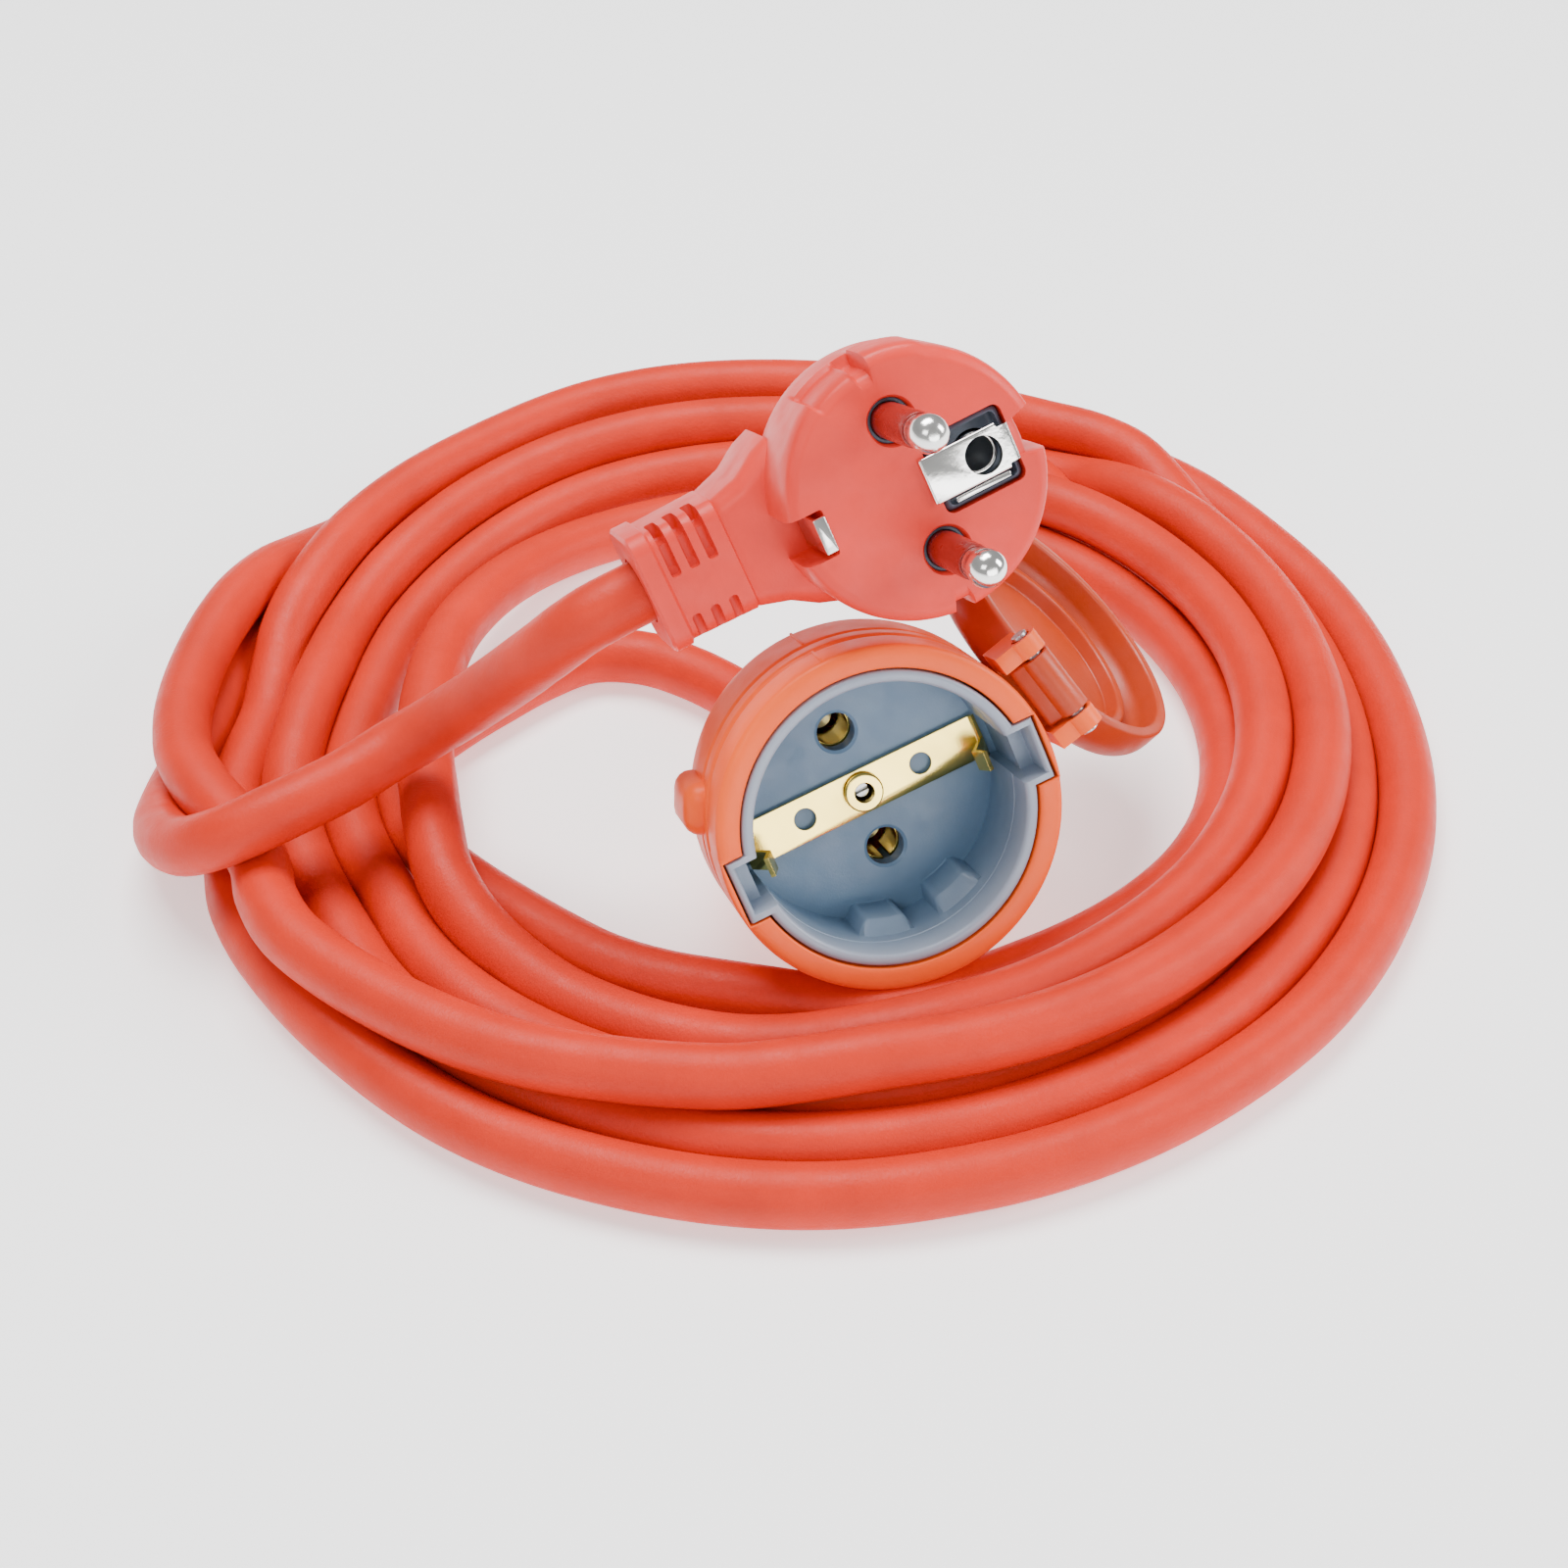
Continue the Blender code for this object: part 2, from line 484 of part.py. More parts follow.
SOCKET_ROUTE = ((-23.3, 30.4, 4.9), (-31.2, 39.3, 4.6), (-41.7, 45.2, 4.6), (-53.7, 47.4, 4.6),
                (-64.7, 46.2, 4.6))
PLUG_ROUTE = ((-46.4, -9.8, 54.9), (-52.2, -9.6, 49.8), (-58.6, -6.2, 42.0), (-65.0, -2.6, 34.4),
              (-71.5, -0.6, 28.2), (-78.2, -1.9, 24.4), (-84.8, -7.5, 23.2), (-91.2, -12.5, 23.0),
              (-97.9, -16.1, 21.8), (-105.9, -16.2, 17.8), (-113.2, -11.8, 12.6), (-118.4, -2.0, 7.8),
              (-120.4, 8.5, 4.9), (-119.4, 17.0, 4.6))
socket_lead = [socket_point(0, 0, z) for z in (-38.0, -48.0, -BOOT_END)]
socket_lead += [Vector(p) * MM for p in SOCKET_ROUTE]
plug_lead = [plug_point(x, 0, NECK_Z) for x in (-18.0, -28.0, -39.0)]
plug_lead += [Vector(p) * MM for p in PLUG_ROUTE]
tube("cord_socket_lead", smooth(socket_lead, 0.016), CORD_R, "cord_red")
tube("cord_plug_lead", smooth(plug_lead, 0.014), CORD_R, "cord_red")
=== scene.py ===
"""Extension cord: the finished surfaces and materials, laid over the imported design."""
import math

import bmesh
import bpy
import numpy as np
from mathutils import Matrix, Vector


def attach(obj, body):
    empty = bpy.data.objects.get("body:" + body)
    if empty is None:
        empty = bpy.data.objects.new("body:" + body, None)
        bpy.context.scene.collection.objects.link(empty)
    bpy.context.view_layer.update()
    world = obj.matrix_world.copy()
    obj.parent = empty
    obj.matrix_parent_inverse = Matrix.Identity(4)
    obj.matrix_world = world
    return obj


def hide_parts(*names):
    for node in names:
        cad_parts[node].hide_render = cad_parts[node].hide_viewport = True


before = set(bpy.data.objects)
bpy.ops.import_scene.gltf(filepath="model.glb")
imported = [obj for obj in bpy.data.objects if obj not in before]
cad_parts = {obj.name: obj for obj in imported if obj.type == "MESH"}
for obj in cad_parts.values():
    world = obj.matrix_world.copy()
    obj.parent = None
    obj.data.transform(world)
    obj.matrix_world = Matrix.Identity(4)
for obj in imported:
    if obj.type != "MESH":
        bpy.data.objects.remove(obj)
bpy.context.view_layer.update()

MM = 0.001
ROOT = "socket_and_cord"
LID = "lid"

# ---- the design's own places and sizes, repeated here in millimetres and degrees ----------------
SOCKET_AT = (-5.4, -26.3, 31.8)
SOCKET_TURN = (14.0, 24.8, 17.4)
PLUG_AT = (-2.4, -9.2, 75.5)
PLUG_TURN = (15.5, 25.5, 18.0)
COIL_AT = (-17.2, 25.8)
CORD_D = 9.0
CORD_R = CORD_D / 2
PIN_Y = 9.5                             # each pin and pin hole lies this far from the middle
RING_R = 24.8                           # the collar and the front of the shell behind it
WELL_R = 19.5
WELL_FLOOR = -17.5
BOOT_END = -58.0
CORD_BORE = 4.85                        # the bore round the cord in the boot and in the neck
NECK_Z = -19.0
NECK_ENDS = (-37.5, -24.3)
TUBE_X = 9.4                            # the middle of the earth window's tube
HINGE_R = 29.7
HINGE_Z = -2.0
HINGE_ANGLE = 14.0
HINGE_SKEW = 8.0
LID_OPEN = 245.0


def pose(at, turn):
    """Local +Z is turned to an azimuth from -Y and an elevation, after a roll about itself."""
    azimuth, elevation, roll = (math.radians(a) for a in turn)
    tilt = Matrix.Rotation(math.pi / 2 - elevation, 4, "X")
    return (Matrix.Translation(Vector(at) * MM) @ Matrix.Rotation(azimuth, 4, "Z") @ tilt
            @ Matrix.Rotation(roll, 4, "Z"))


SOCKET = pose(SOCKET_AT, SOCKET_TURN)
PLUG = pose(PLUG_AT, PLUG_TURN)


def hinge_frames():
    """The closed lid's frame, swung open about the pin, and its knuckle's: X outwards, Y along the pin."""
    turn = math.radians(HINGE_ANGLE)
    lean = math.radians(HINGE_SKEW)
    at = Vector((HINGE_R * math.cos(turn), HINGE_R * math.sin(turn), HINGE_Z)) * MM
    along = Vector((-math.sin(turn) * math.cos(lean), math.cos(turn) * math.cos(lean), -math.sin(lean)))
    out = Vector((math.cos(turn), math.sin(turn), 0.0))
    knuckle = Matrix((out, along, out.cross(along))).transposed().to_4x4()
    knuckle.translation = at
    swing = (Matrix.Translation(at) @ Matrix.Rotation(math.radians(LID_OPEN), 4, along)
             @ Matrix.Translation(-at))
    return SOCKET @ swing, SOCKET @ swing @ knuckle


LID_FRAME, LID_KNUCKLE = hinge_frames()


def placed(points, matrix):
    """Local millimetres carried into the row frame, in metres."""
    turn = np.array(matrix.to_3x3())
    return np.asarray(points, float) * MM @ turn.T + np.array(matrix.translation)


# ---- materials ----------------------------------------------------------------------------------
class Nodes:
    """A material's node tree, with one call for each node."""

    def __init__(self, name, roughness, metallic=0.0, **sockets):
        self.material = bpy.data.materials.new(name)
        self.material.use_nodes = True
        self.tree = self.material.node_tree
        self.shader = self.tree.nodes["Principled BSDF"]
        self.shader.inputs["Roughness"].default_value = roughness
        self.shader.inputs["Metallic"].default_value = metallic
        for key, value in sockets.items():
            self.shader.inputs[key.replace("_", " ")].default_value = value

    def add(self, kind, inputs=(), **settings):
        node = self.tree.nodes.new("ShaderNode" + kind)
        for key, value in settings.items():
            setattr(node, key, value)
        for key, value in dict(inputs).items():
            if isinstance(value, bpy.types.NodeSocket):
                self.tree.links.new(value, node.inputs[key])
            else:
                node.inputs[key].default_value = value
        return node

    def where(self, scale=(1, 1, 1), uv=False):
        coords = self.add("TexCoord").outputs["UV" if uv else "Object"]
        return self.add("Mapping", {"Vector": coords, "Scale": scale}).outputs["Vector"]

    def noise(self, scale, detail=3.0, rough=0.5, stretch=(1, 1, 1), uv=False):
        return self.add("TexNoise", {"Vector": self.where(stretch, uv), "Scale": scale, "Detail": detail,
                                     "Roughness": rough}).outputs["Fac"]

    def ramp(self, value, low, high, start=0.0, end=1.0):
        node = self.add("MapRange", {"Value": value, "From Min": low, "From Max": high, "To Min": start,
                                     "To Max": end})
        return node.outputs["Result"]

    def mix(self, value, first, second):
        node = self.add("Mix", data_type="RGBA")
        for index, item in ((0, value), (6, first), (7, second)):
            if isinstance(item, bpy.types.NodeSocket):
                self.tree.links.new(item, node.inputs[index])
            else:
                node.inputs[index].default_value = item
        return node.outputs[2]

    def colour(self, socket):
        self.tree.links.new(socket, self.shader.inputs["Base Color"])

    def gloss(self, socket):
        self.tree.links.new(socket, self.shader.inputs["Roughness"])

    def bump(self, height, depth):
        node = self.add("Bump", {"Height": height, "Distance": depth, "Strength": 1.0})
        self.tree.links.new(node.outputs["Normal"], self.shader.inputs["Normal"])


PLASTIC_GRAIN = 0.00003                 # depths of the bumps, in metres
SHEATH_GRAIN = 0.00005
METAL_GRAIN = 0.000015


def tone(colour, factor):
    """The colour made lighter or darker, with an alpha of 1."""
    return (*(min(1.0, c * factor) for c in colour), 1.0)


def moulded(name, colour, roughness, edge=0.12, **sockets):
    """Moulded plastic: clouds of slightly lighter and darker colour, a fine eroded grain and paler edges."""
    n = Nodes(name, roughness, **sockets)
    clouds = n.noise(55, 4.0, 0.6)
    base = n.mix(n.ramp(clouds, 0.3, 0.7), tone(colour, 0.90), tone(colour, 1.10))
    worn = n.ramp(n.add("NewGeometry").outputs["Pointiness"], 0.52, 0.60, 0.0, edge)
    n.colour(n.mix(worn, base, tone(colour, 1.45)))
    n.gloss(n.ramp(n.noise(240, 3.0), 0.3, 0.7, roughness - 0.07, roughness + 0.08))
    n.bump(n.noise(2600, 3.0, 0.65), PLASTIC_GRAIN)
    return n.material


def insert_plastic():
    """The insert's plastic: deeper blue in the well as painted shade, turning paler and greyer towards the
    lip as painted light.
    """
    n = Nodes("blue grey insert plastic", 0.36)
    clouds = n.ramp(n.noise(60, 4.0, 0.6), 0.3, 0.7)
    # Painted light and shade: the deeper blue is painted shade in the well, the paler, greyer tone painted
    # light on the lip.
    deep = n.mix(clouds, (0.125, 0.215, 0.330, 1), (0.165, 0.270, 0.400, 1))
    lit_lip_tone = n.mix(clouds, (0.260, 0.300, 0.375, 1), (0.315, 0.355, 0.430, 1))
    lip = n.add("Attribute", attribute_name="lip").outputs["Fac"]
    n.colour(n.mix(lip, deep, lit_lip_tone))
    n.gloss(n.ramp(n.noise(260, 3.0), 0.3, 0.7, 0.28, 0.44))
    n.bump(n.noise(2600, 3.0, 0.65), PLASTIC_GRAIN)
    return n.material


def sheathing(name, colour):
    """Extruded sheath: faint lines along the length, soft blotches and a very fine matte skin."""
    n = Nodes(name, 0.46)
    n.shader.inputs["Specular IOR Level"].default_value = 0.24
    blotch = n.noise(70, 4.0, 0.6)
    lines = n.noise(26, 3.0, 0.55, stretch=(3.0, 1.0, 1.0), uv=True)
    base = n.mix(n.ramp(blotch, 0.3, 0.7), tone(colour, 0.90), tone(colour, 1.08))
    n.colour(n.mix(n.ramp(lines, 0.45, 0.75, 0.0, 0.30), base, tone(colour, 0.84)))
    n.gloss(n.ramp(n.noise(300, 3.0), 0.3, 0.7, 0.38, 0.52))
    grain = n.add("Math", {0: n.noise(1900, 3.0, 0.6), 1: lines}, operation="ADD").outputs[0]
    n.bump(grain, SHEATH_GRAIN)
    return n.material


def metal(name, colour, roughness, stretch=(1, 1, 1), tarnish=0.25):
    """Plated or stamped metal: fine drawing lines, duller patches and small colour shifts."""
    n = Nodes(name, roughness, metallic=1.0)
    patches = n.noise(120, 3.0, 0.5)
    n.colour(n.mix(n.ramp(patches, 0.42, 0.72, 0.0, tarnish), (*colour, 1.0), tone(colour, 0.62)))
    n.gloss(n.ramp(patches, 0.3, 0.75, roughness - 0.04, roughness + 0.08))
    n.bump(n.noise(1500, 2.0, 0.5, stretch=stretch), METAL_GRAIN)
    return n.material


ORANGE = (0.98, 0.105, 0.006)
# The lid: the housing's orange plastic, painted darker as painted shade where the open lid lies in shadow.
SHADED_LID_ORANGE = (0.46, 0.040, 0.003)
CORAL = (0.74, 0.034, 0.021)
BRICK = (0.64, 0.026, 0.006)

FINISHES = {
    "housing_orange": moulded("orange housing plastic", ORANGE, 0.42, edge=0.20, Specular_IOR_Level=0.34),
    # The lid's finish: the housing orange darkened as painted shade.
    "lid_red": moulded("orange lid plastic with painted shade", SHADED_LID_ORANGE, 0.40, edge=0.10),
    "plug_coral": moulded("coral plug plastic", CORAL, 0.43, edge=0.15, Specular_IOR_Level=0.34),
    "sleeve_red": moulded("red pin sleeve plastic", (0.27, 0.012, 0.009), 0.30, edge=0.10),
    "cord_red": sheathing("brick red cord sheath", BRICK),
    "insert_grey": insert_plastic(),
    "carrier_navy": moulded("slate contact carrier plastic", (0.075, 0.095, 0.130), 0.45, edge=0.15),
    "brass": metal("stamped brass", (1.0, 0.76, 0.20), 0.20, stretch=(6, 1, 1), tarnish=0.10),
    "nickel": metal("nickel plate", (0.92, 0.91, 0.88), 0.16, tarnish=0.10),
    "steel": metal("zinc plated steel", (0.58, 0.59, 0.61), 0.34),
    "wire_brown": moulded("brown core insulation", (0.12, 0.05, 0.03), 0.4),
    "wire_blue": moulded("blue core insulation", (0.02, 0.09, 0.34), 0.4),
    "wire_green": moulded("green core insulation", (0.20, 0.40, 0.05), 0.4),
}


# ---- surfaces -----------------------------------------------------------------------------------
SMOOTH_ANGLE = 38.0                     # faces that meet at less than this are shaded as one
EDGE_ANGLE = 40.0                       # and on a design piece, edges over this are rounded


def dress(obj, finish, body=ROOT, instead=()):
    """Give a piece its finish and its body, and hide the design nodes it stands for."""
    obj.data.materials.clear()
    obj.data.materials.append(FINISHES[finish])
    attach(obj, body)
    if instead:
        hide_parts(*instead)
    return obj


def shaded(mesh, angle=SMOOTH_ANGLE):
    """Smooth shading, with the edges over an angle kept sharp."""
    mesh.shade_smooth()
    mesh.set_sharp_from_angle(angle=math.radians(angle))


def skin(name, rows, matrix=None, loop=False, angle=SMOOTH_ANGLE):
    """A closed surface over a grid: rows[i, j] joins its neighbours, round in j, and round in i when loop is
    set; otherwise the first and last row are single points, or are closed by a flat cap."""
    rows = np.asarray(rows, float)
    count, width, _ = rows.shape
    points = placed(rows.reshape(-1, 3), matrix) if matrix is not None else rows.reshape(-1, 3)
    i = np.arange(count if loop else count - 1)[:, None]
    j = np.arange(width)[None, :]
    after = (i + 1) % count
    turn = (j + 1) % width
    quads = np.stack(np.broadcast_arrays(i * width + j, i * width + turn, after * width + turn,
                                         after * width + j), -1).reshape(-1, 4)
    faces = quads.tolist()
    if not loop:
        faces += [list(range(width)), list(range((count - 1) * width, count * width))]
    mesh = bpy.data.meshes.new(name)
    mesh.from_pydata(points.tolist(), [], faces)
    bm = bmesh.new()
    bm.from_mesh(mesh)
    bmesh.ops.remove_doubles(bm, verts=bm.verts, dist=1e-6)
    bmesh.ops.recalc_face_normals(bm, faces=bm.faces)
    bm.to_mesh(mesh)
    bm.free()
    shaded(mesh, angle)
    obj = bpy.data.objects.new(name, mesh)
    bpy.context.scene.collection.objects.link(obj)
    return obj


def eased(points, radius, steps=4, loop=True):
    """A polyline with each corner replaced by a short curve that starts a radius away along both sides."""
    p = np.asarray(points, float)
    radius = np.broadcast_to(radius, (len(p),))
    t = np.linspace(0, 1, steps + 1)[:, None]
    out = []
    for k, corner in enumerate(p):
        if (not loop and k in (0, len(p) - 1)) or radius[k] <= 0:
            out.append(corner[None])
            continue
        before = p[k - 1] - corner
        after = p[(k + 1) % len(p)] - corner
        a = corner + before * min(0.48, radius[k] / max(np.linalg.norm(before), 1e-9))
        b = corner + after * min(0.48, radius[k] / max(np.linalg.norm(after), 1e-9))
        out.append((1 - t) ** 2 * a + 2 * t * (1 - t) * corner + t ** 2 * b)
    return np.concatenate(out)


def turned(profile, segments=120):
    """Rows for a profile of (radius, z) turned about Z: x = r cos a, y = r sin a."""
    angle = np.linspace(0, 2 * np.pi, segments, endpoint=False)
    r = profile[:, 0][:, None]
    z = np.broadcast_to(profile[:, 1][:, None], (len(profile), segments))
    return np.stack([r * np.cos(angle), r * np.sin(angle), z], -1)


def solid_block(low, high, radius=0.5, steps=3):
    """Rows for a box with rounded edges: a rounded rectangle that shrinks towards its flat ends."""
    (x0, y0, z0), (x1, y1, z1) = low, high
    radius = min(radius, 0.45 * min(x1 - x0, y1 - y0, z1 - z0))
    a = np.linspace(0, np.pi / 2, steps + 1)
    inset = radius * (1 - np.sin(a))
    lift = radius * (1 - np.cos(a))
    rows = []
    turns = np.concatenate([np.linspace(q, q + np.pi / 2, 5) for q in (0, np.pi / 2, np.pi, 1.5 * np.pi)])
    cx = np.repeat([x1 - radius, x0 + radius, x0 + radius, x1 - radius], 5)
    cy = np.repeat([y1 - radius, y1 - radius, y0 + radius, y0 + radius], 5)
    for z, ins in list(zip(z0 + lift, inset)) + list(zip((z1 - lift)[::-1], inset[::-1])):
        r = max(radius - ins, 0.02)
        rows.append(np.stack([cx + r * np.cos(turns), cy + r * np.sin(turns), np.full(20, z)], -1))
    return np.array(rows)


def places(mesh):
    """The mesh's vertices as one array of places."""
    co = np.empty(len(mesh.vertices) * 3, np.float32)
    mesh.vertices.foreach_get("co", co)
    return co.reshape(-1, 3).astype(float)


def carve(obj, cutters=(), joins=()):
    """Join and cut closed surfaces, and keep only the result."""
    for other, operation in [(o, "UNION") for o in joins] + [(o, "DIFFERENCE") for o in cutters]:
        mod = obj.modifiers.new("cut", "BOOLEAN")
        mod.operation = operation
        mod.object = other
        mod.solver = "EXACT"
    depsgraph = bpy.context.evaluated_depsgraph_get()
    mesh = bpy.data.meshes.new_from_object(obj.evaluated_get(depsgraph))
    obj.modifiers.clear()
    old = obj.data
    obj.data = mesh
    bpy.data.meshes.remove(old)
    for other in (*cutters, *joins):
        bpy.data.objects.remove(other)
    bm = bmesh.new()
    bm.from_mesh(mesh)
    bmesh.ops.remove_doubles(bm, verts=bm.verts, dist=2e-6)
    bmesh.ops.dissolve_degenerate(bm, edges=bm.edges, dist=1e-6)
    bm.to_mesh(mesh)
    bm.free()
    shaded(mesh)
    return obj


def softened(node, name, width):
    """A copy of a design piece with its edges rounded over a width in millimetres."""
    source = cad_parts[node]
    mesh = source.data.copy()
    bm = bmesh.new()
    bm.from_mesh(mesh)
    bmesh.ops.remove_doubles(bm, verts=bm.verts, dist=1e-6)
    bmesh.ops.dissolve_limit(bm, angle_limit=math.radians(1.0), verts=bm.verts, edges=bm.edges)
    bm.to_mesh(mesh)
    bm.free()
    shaded(mesh, EDGE_ANGLE)
    obj = bpy.data.objects.new(name, mesh)
    bpy.context.scene.collection.objects.link(obj)
    bevel = obj.modifiers.new("edges", "BEVEL")
    bevel.width = width * MM
    bevel.segments = 2
    bevel.limit_method = "ANGLE"
    bevel.angle_limit = math.radians(EDGE_ANGLE)
    bevel.use_clamp_overlap = True
    bevel.harden_normals = True
    return obj


# ---- camera, floor and light --------------------------------------------------------------------
CAMERA_AT = (-0.0204, -0.2937, 0.2628)
CAMERA_TILT = 50.0
CAMERA_LENS = 58.75                     # millimetres, on a 36 mm sensor

# Each light: its place, what it is aimed at, its two sides in metres and its power in watts.
LIGHTS = {
    "top softbox": ((-0.15, 0.25, 0.95), (0.0, 0.0, 0.0), (0.7, 0.5), 15.5),
    "right softbox": ((0.85, -0.05, 0.55), (0.0, 0.0, 0.02), (0.4, 0.5), 7.5),
    "front softbox": ((-0.35, -0.85, 0.75), (0.0, 0.0, 0.02), (0.6, 0.4), 3.6),
    "low softbox": ((0.46, -0.86, 0.22), (0.0, -0.02, 0.05), (0.6, 0.3), 3.2),
}


def set_camera():
    camera = bpy.data.objects.new("camera", bpy.data.cameras.new("camera"))
    camera.location = CAMERA_AT
    camera.rotation_euler = (math.radians(CAMERA_TILT), 0.0, 0.0)
    camera.data.lens = CAMERA_LENS
    camera.data.sensor_width = 36.0
    camera.data.clip_start = 0.01
    bpy.context.scene.collection.objects.link(camera)
    bpy.context.scene.camera = camera


def area_light(name, at, aim, size, power):
    light = bpy.data.lights.new(name, "AREA")
    light.shape = "RECTANGLE"
    light.size, light.size_y = size
    light.energy = power
    obj = bpy.data.objects.new(name, light)
    obj.location = at
    obj.rotation_euler = (Vector(aim) - Vector(at)).to_track_quat("-Z", "Y").to_euler()
    bpy.context.scene.collection.objects.link(obj)


def set_studio():
    world = bpy.data.worlds.new("studio")
    world.use_nodes = True
    world.node_tree.nodes["Background"].inputs["Color"].default_value = (1.0, 1.0, 1.0, 1.0)
    world.node_tree.nodes["Background"].inputs["Strength"].default_value = 0.36
    bpy.context.scene.world = world
    for name, light in LIGHTS.items():
        area_light(name, *light)


def make_floor():
    """The sweep that the object stands on, which glows a little so that it stays white."""
    bm = bmesh.new()
    bmesh.ops.create_grid(bm, x_segments=1, y_segments=1, size=3.0)
    mesh = bpy.data.meshes.new("floor")
    bm.to_mesh(mesh)
    bm.free()
    floor = bpy.data.objects.new("floor", mesh)
    n = Nodes("white sweep", 0.55)
    n.colour(n.mix(n.noise(3.0), (0.93, 0.93, 0.93, 1), (0.95, 0.95, 0.95, 1)))
    n.shader.inputs["Emission Color"].default_value = (1.0, 1.0, 1.0, 1.0)
    n.shader.inputs["Emission Strength"].default_value = 0.75
    mesh.materials.append(n.material)
    floor.location.z = -0.0001
    bpy.context.scene.collection.objects.link(floor)


# ---- the cord -----------------------------------------------------------------------------------
# The coil, turn by turn from the socket's end to the plug's: angle in degrees (anticlockwise from
# +X, seen from above), then the radius and the height of the cord's middle there.
TURNS = (
    ((185.0, 63.5, 4.5), (202.0, 65.0, 4.5), (225.0, 62.0, 4.5), (258.0, 58.8, 4.5), (352.0, 67.5, 4.5),
     (470.0, 65.9, 4.5)),
    ((164.0, 60.5, 11.5), (176.0, 58.9, 12.9), (200.0, 61.0, 12.9), (232.0, 70.0, 4.7), (258.0, 70.9, 4.5),
     (305.0, 70.4, 8.5), (352.0, 72.4, 12.3), (470.0, 76.0, 7.5)),
    ((170.0, 71.9, 4.5), (205.0, 72.2, 4.5), (258.0, 78.8, 4.5), (305.0, 77.2, 4.5), (352.0, 76.5, 4.5),
     (470.0, 83.5, 12.3)),
    ((170.0, 81.5, 7.5), (205.0, 81.6, 5.5), (258.0, 86.9, 4.5), (305.0, 86.0, 4.5), (352.0, 86.4, 4.5),
     (470.0, 96.9, 12.4)),
    ((127.0, 93.2, 12.6), (139.0, 91.1, 12.6), (154.0, 88.7, 12.4), (161.0, 88.2, 10.8), (167.0, 88.5, 7.2),
     (172.0, 89.8, 4.5), (190.0, 90.4, 4.5), (222.0, 93.6, 4.5), (242.0, 93.8, 4.5), (258.0, 94.9, 4.5),
     (310.0, 94.7, 4.5), (352.0, 95.0, 4.5), (470.0, 101.5, 4.5)),
    ((136.0, 97.2, 4.5), (148.0, 96.0, 5.2), (155.0, 95.4, 8.6), (162.0, 96.8, 12.0), (171.0, 97.6, 13.2),
     (185.0, 97.3, 13.2), (199.0, 96.0, 13.2), (209.0, 93.8, 13.2), (222.0, 90.6, 13.2), (241.0, 88.4, 13.0),
     (250.0, 86.3, 12.7), (259.0, 83.7, 12.4), (277.0, 79.6, 12.9), (310.0, 79.9, 13.2), (352.0, 81.0, 12.6),
     (470.0, 91.0, 4.5)),
    ((130.0, 88.8, 4.5), (147.0, 88.2, 4.5), (154.0, 89.4, 4.5), (161.0, 93.0, 4.5), (168.0, 96.8, 4.5)),
)

SOCKET_LEAD = ((-23.3, 30.4, 4.9), (-31.2, 39.3, 4.6), (-41.7, 45.2, 4.6), (-53.7, 47.4, 4.6))
PLUG_LEAD = ((-46.4, -9.8, 54.9), (-52.2, -9.6, 49.8), (-58.6, -6.2, 42.0), (-65.0, -2.6, 34.4),
             (-71.5, -0.6, 28.2), (-78.2, -1.9, 24.4), (-84.8, -7.5, 23.2), (-91.2, -12.3, 22.8),
             (-97.4, -15.2, 21.4), (-103.8, -15.2, 18.0), (-109.6, -10.8, 13.6), (-113.8, -3.6, 9.6),
             (-115.4, 4.6, 6.6), (-115.2, 13.3, 4.9), (-114.2, 20.4, 4.6))
TURN_STEP = 10.0                        # degrees between the coil's points
STEP = 4.0                              # spacing of the cord's points while it settles
ROUNDS = 220                            # how many times the settling is repeated
HOMING = 0.02                           # how much of each correction a round makes: back to the route,
STIFFNESS = 0.35                        # evening out the bends, parting two turns,
PARTING = 0.5
CLEARING = 0.6                          # and clearing the socket
SOCKET_HELD = (60.0, 20.0)              # the length that stays put at the socket, and the fade after it
PLUG_HELD = (185.0, 25.0)
KEEP_OUT = (24.9, -24.0, 4.5)           # the socket's space: radius, and lowest and highest z in its frame


def through(points, step):
    """Points about a step apart along a Catmull-Rom curve through the given ones."""
    p = np.asarray(points, float)
    p = np.concatenate([[2 * p[0] - p[1]], p, [2 * p[-1] - p[-2]]])
    out = []
    for a, b, c, d in zip(p, p[1:], p[2:], p[3:]):
        t = np.linspace(0, 1, max(2, round(np.linalg.norm(c - b) / step) + 1))[:-1, None]
        out.append(0.5 * (2 * b + (c - a) * t + (2 * a - 5 * b + 4 * c - d) * t ** 2
                          + (3 * b - a - 3 * c + d) * t ** 3))
    return np.concatenate(out + [p[-2][None]])


def distances(path):
    """How far along the path each of its points lies."""
    return np.concatenate([[0], np.cumsum(np.linalg.norm(np.diff(path, axis=0), axis=1))])


def evenly(points, step):
    """The same line with its points an equal distance apart."""
    along = distances(points)
    at = np.linspace(0, along[-1], round(along[-1] / step) + 1)
    return np.stack([np.interp(at, along, points[:, k]) for k in range(3)], -1)


def coil_turns():
    """The coil: between two of its places the radius and the height ease from one to the next."""
    knots = np.array([(angle + 360.0 * k, r, z) for k, turn in enumerate(TURNS) for angle, r, z in turn])
    angle = np.arange(knots[0, 0], knots[-1, 0] + 1, TURN_STEP)
    k = np.clip(np.searchsorted(knots[:, 0], angle, side="right") - 1, 0, len(knots) - 2)
    t = (angle - knots[k, 0]) / (knots[k + 1, 0] - knots[k, 0])
    t = t * t * (3 - 2 * t)
    r = knots[k, 1] + (knots[k + 1, 1] - knots[k, 1]) * t
    z = knots[k, 2] + (knots[k + 1, 2] - knots[k, 2]) * t
    a = np.radians(angle)
    return np.stack([COIL_AT[0] + r * np.cos(a), COIL_AT[1] + r * np.sin(a), z], -1)


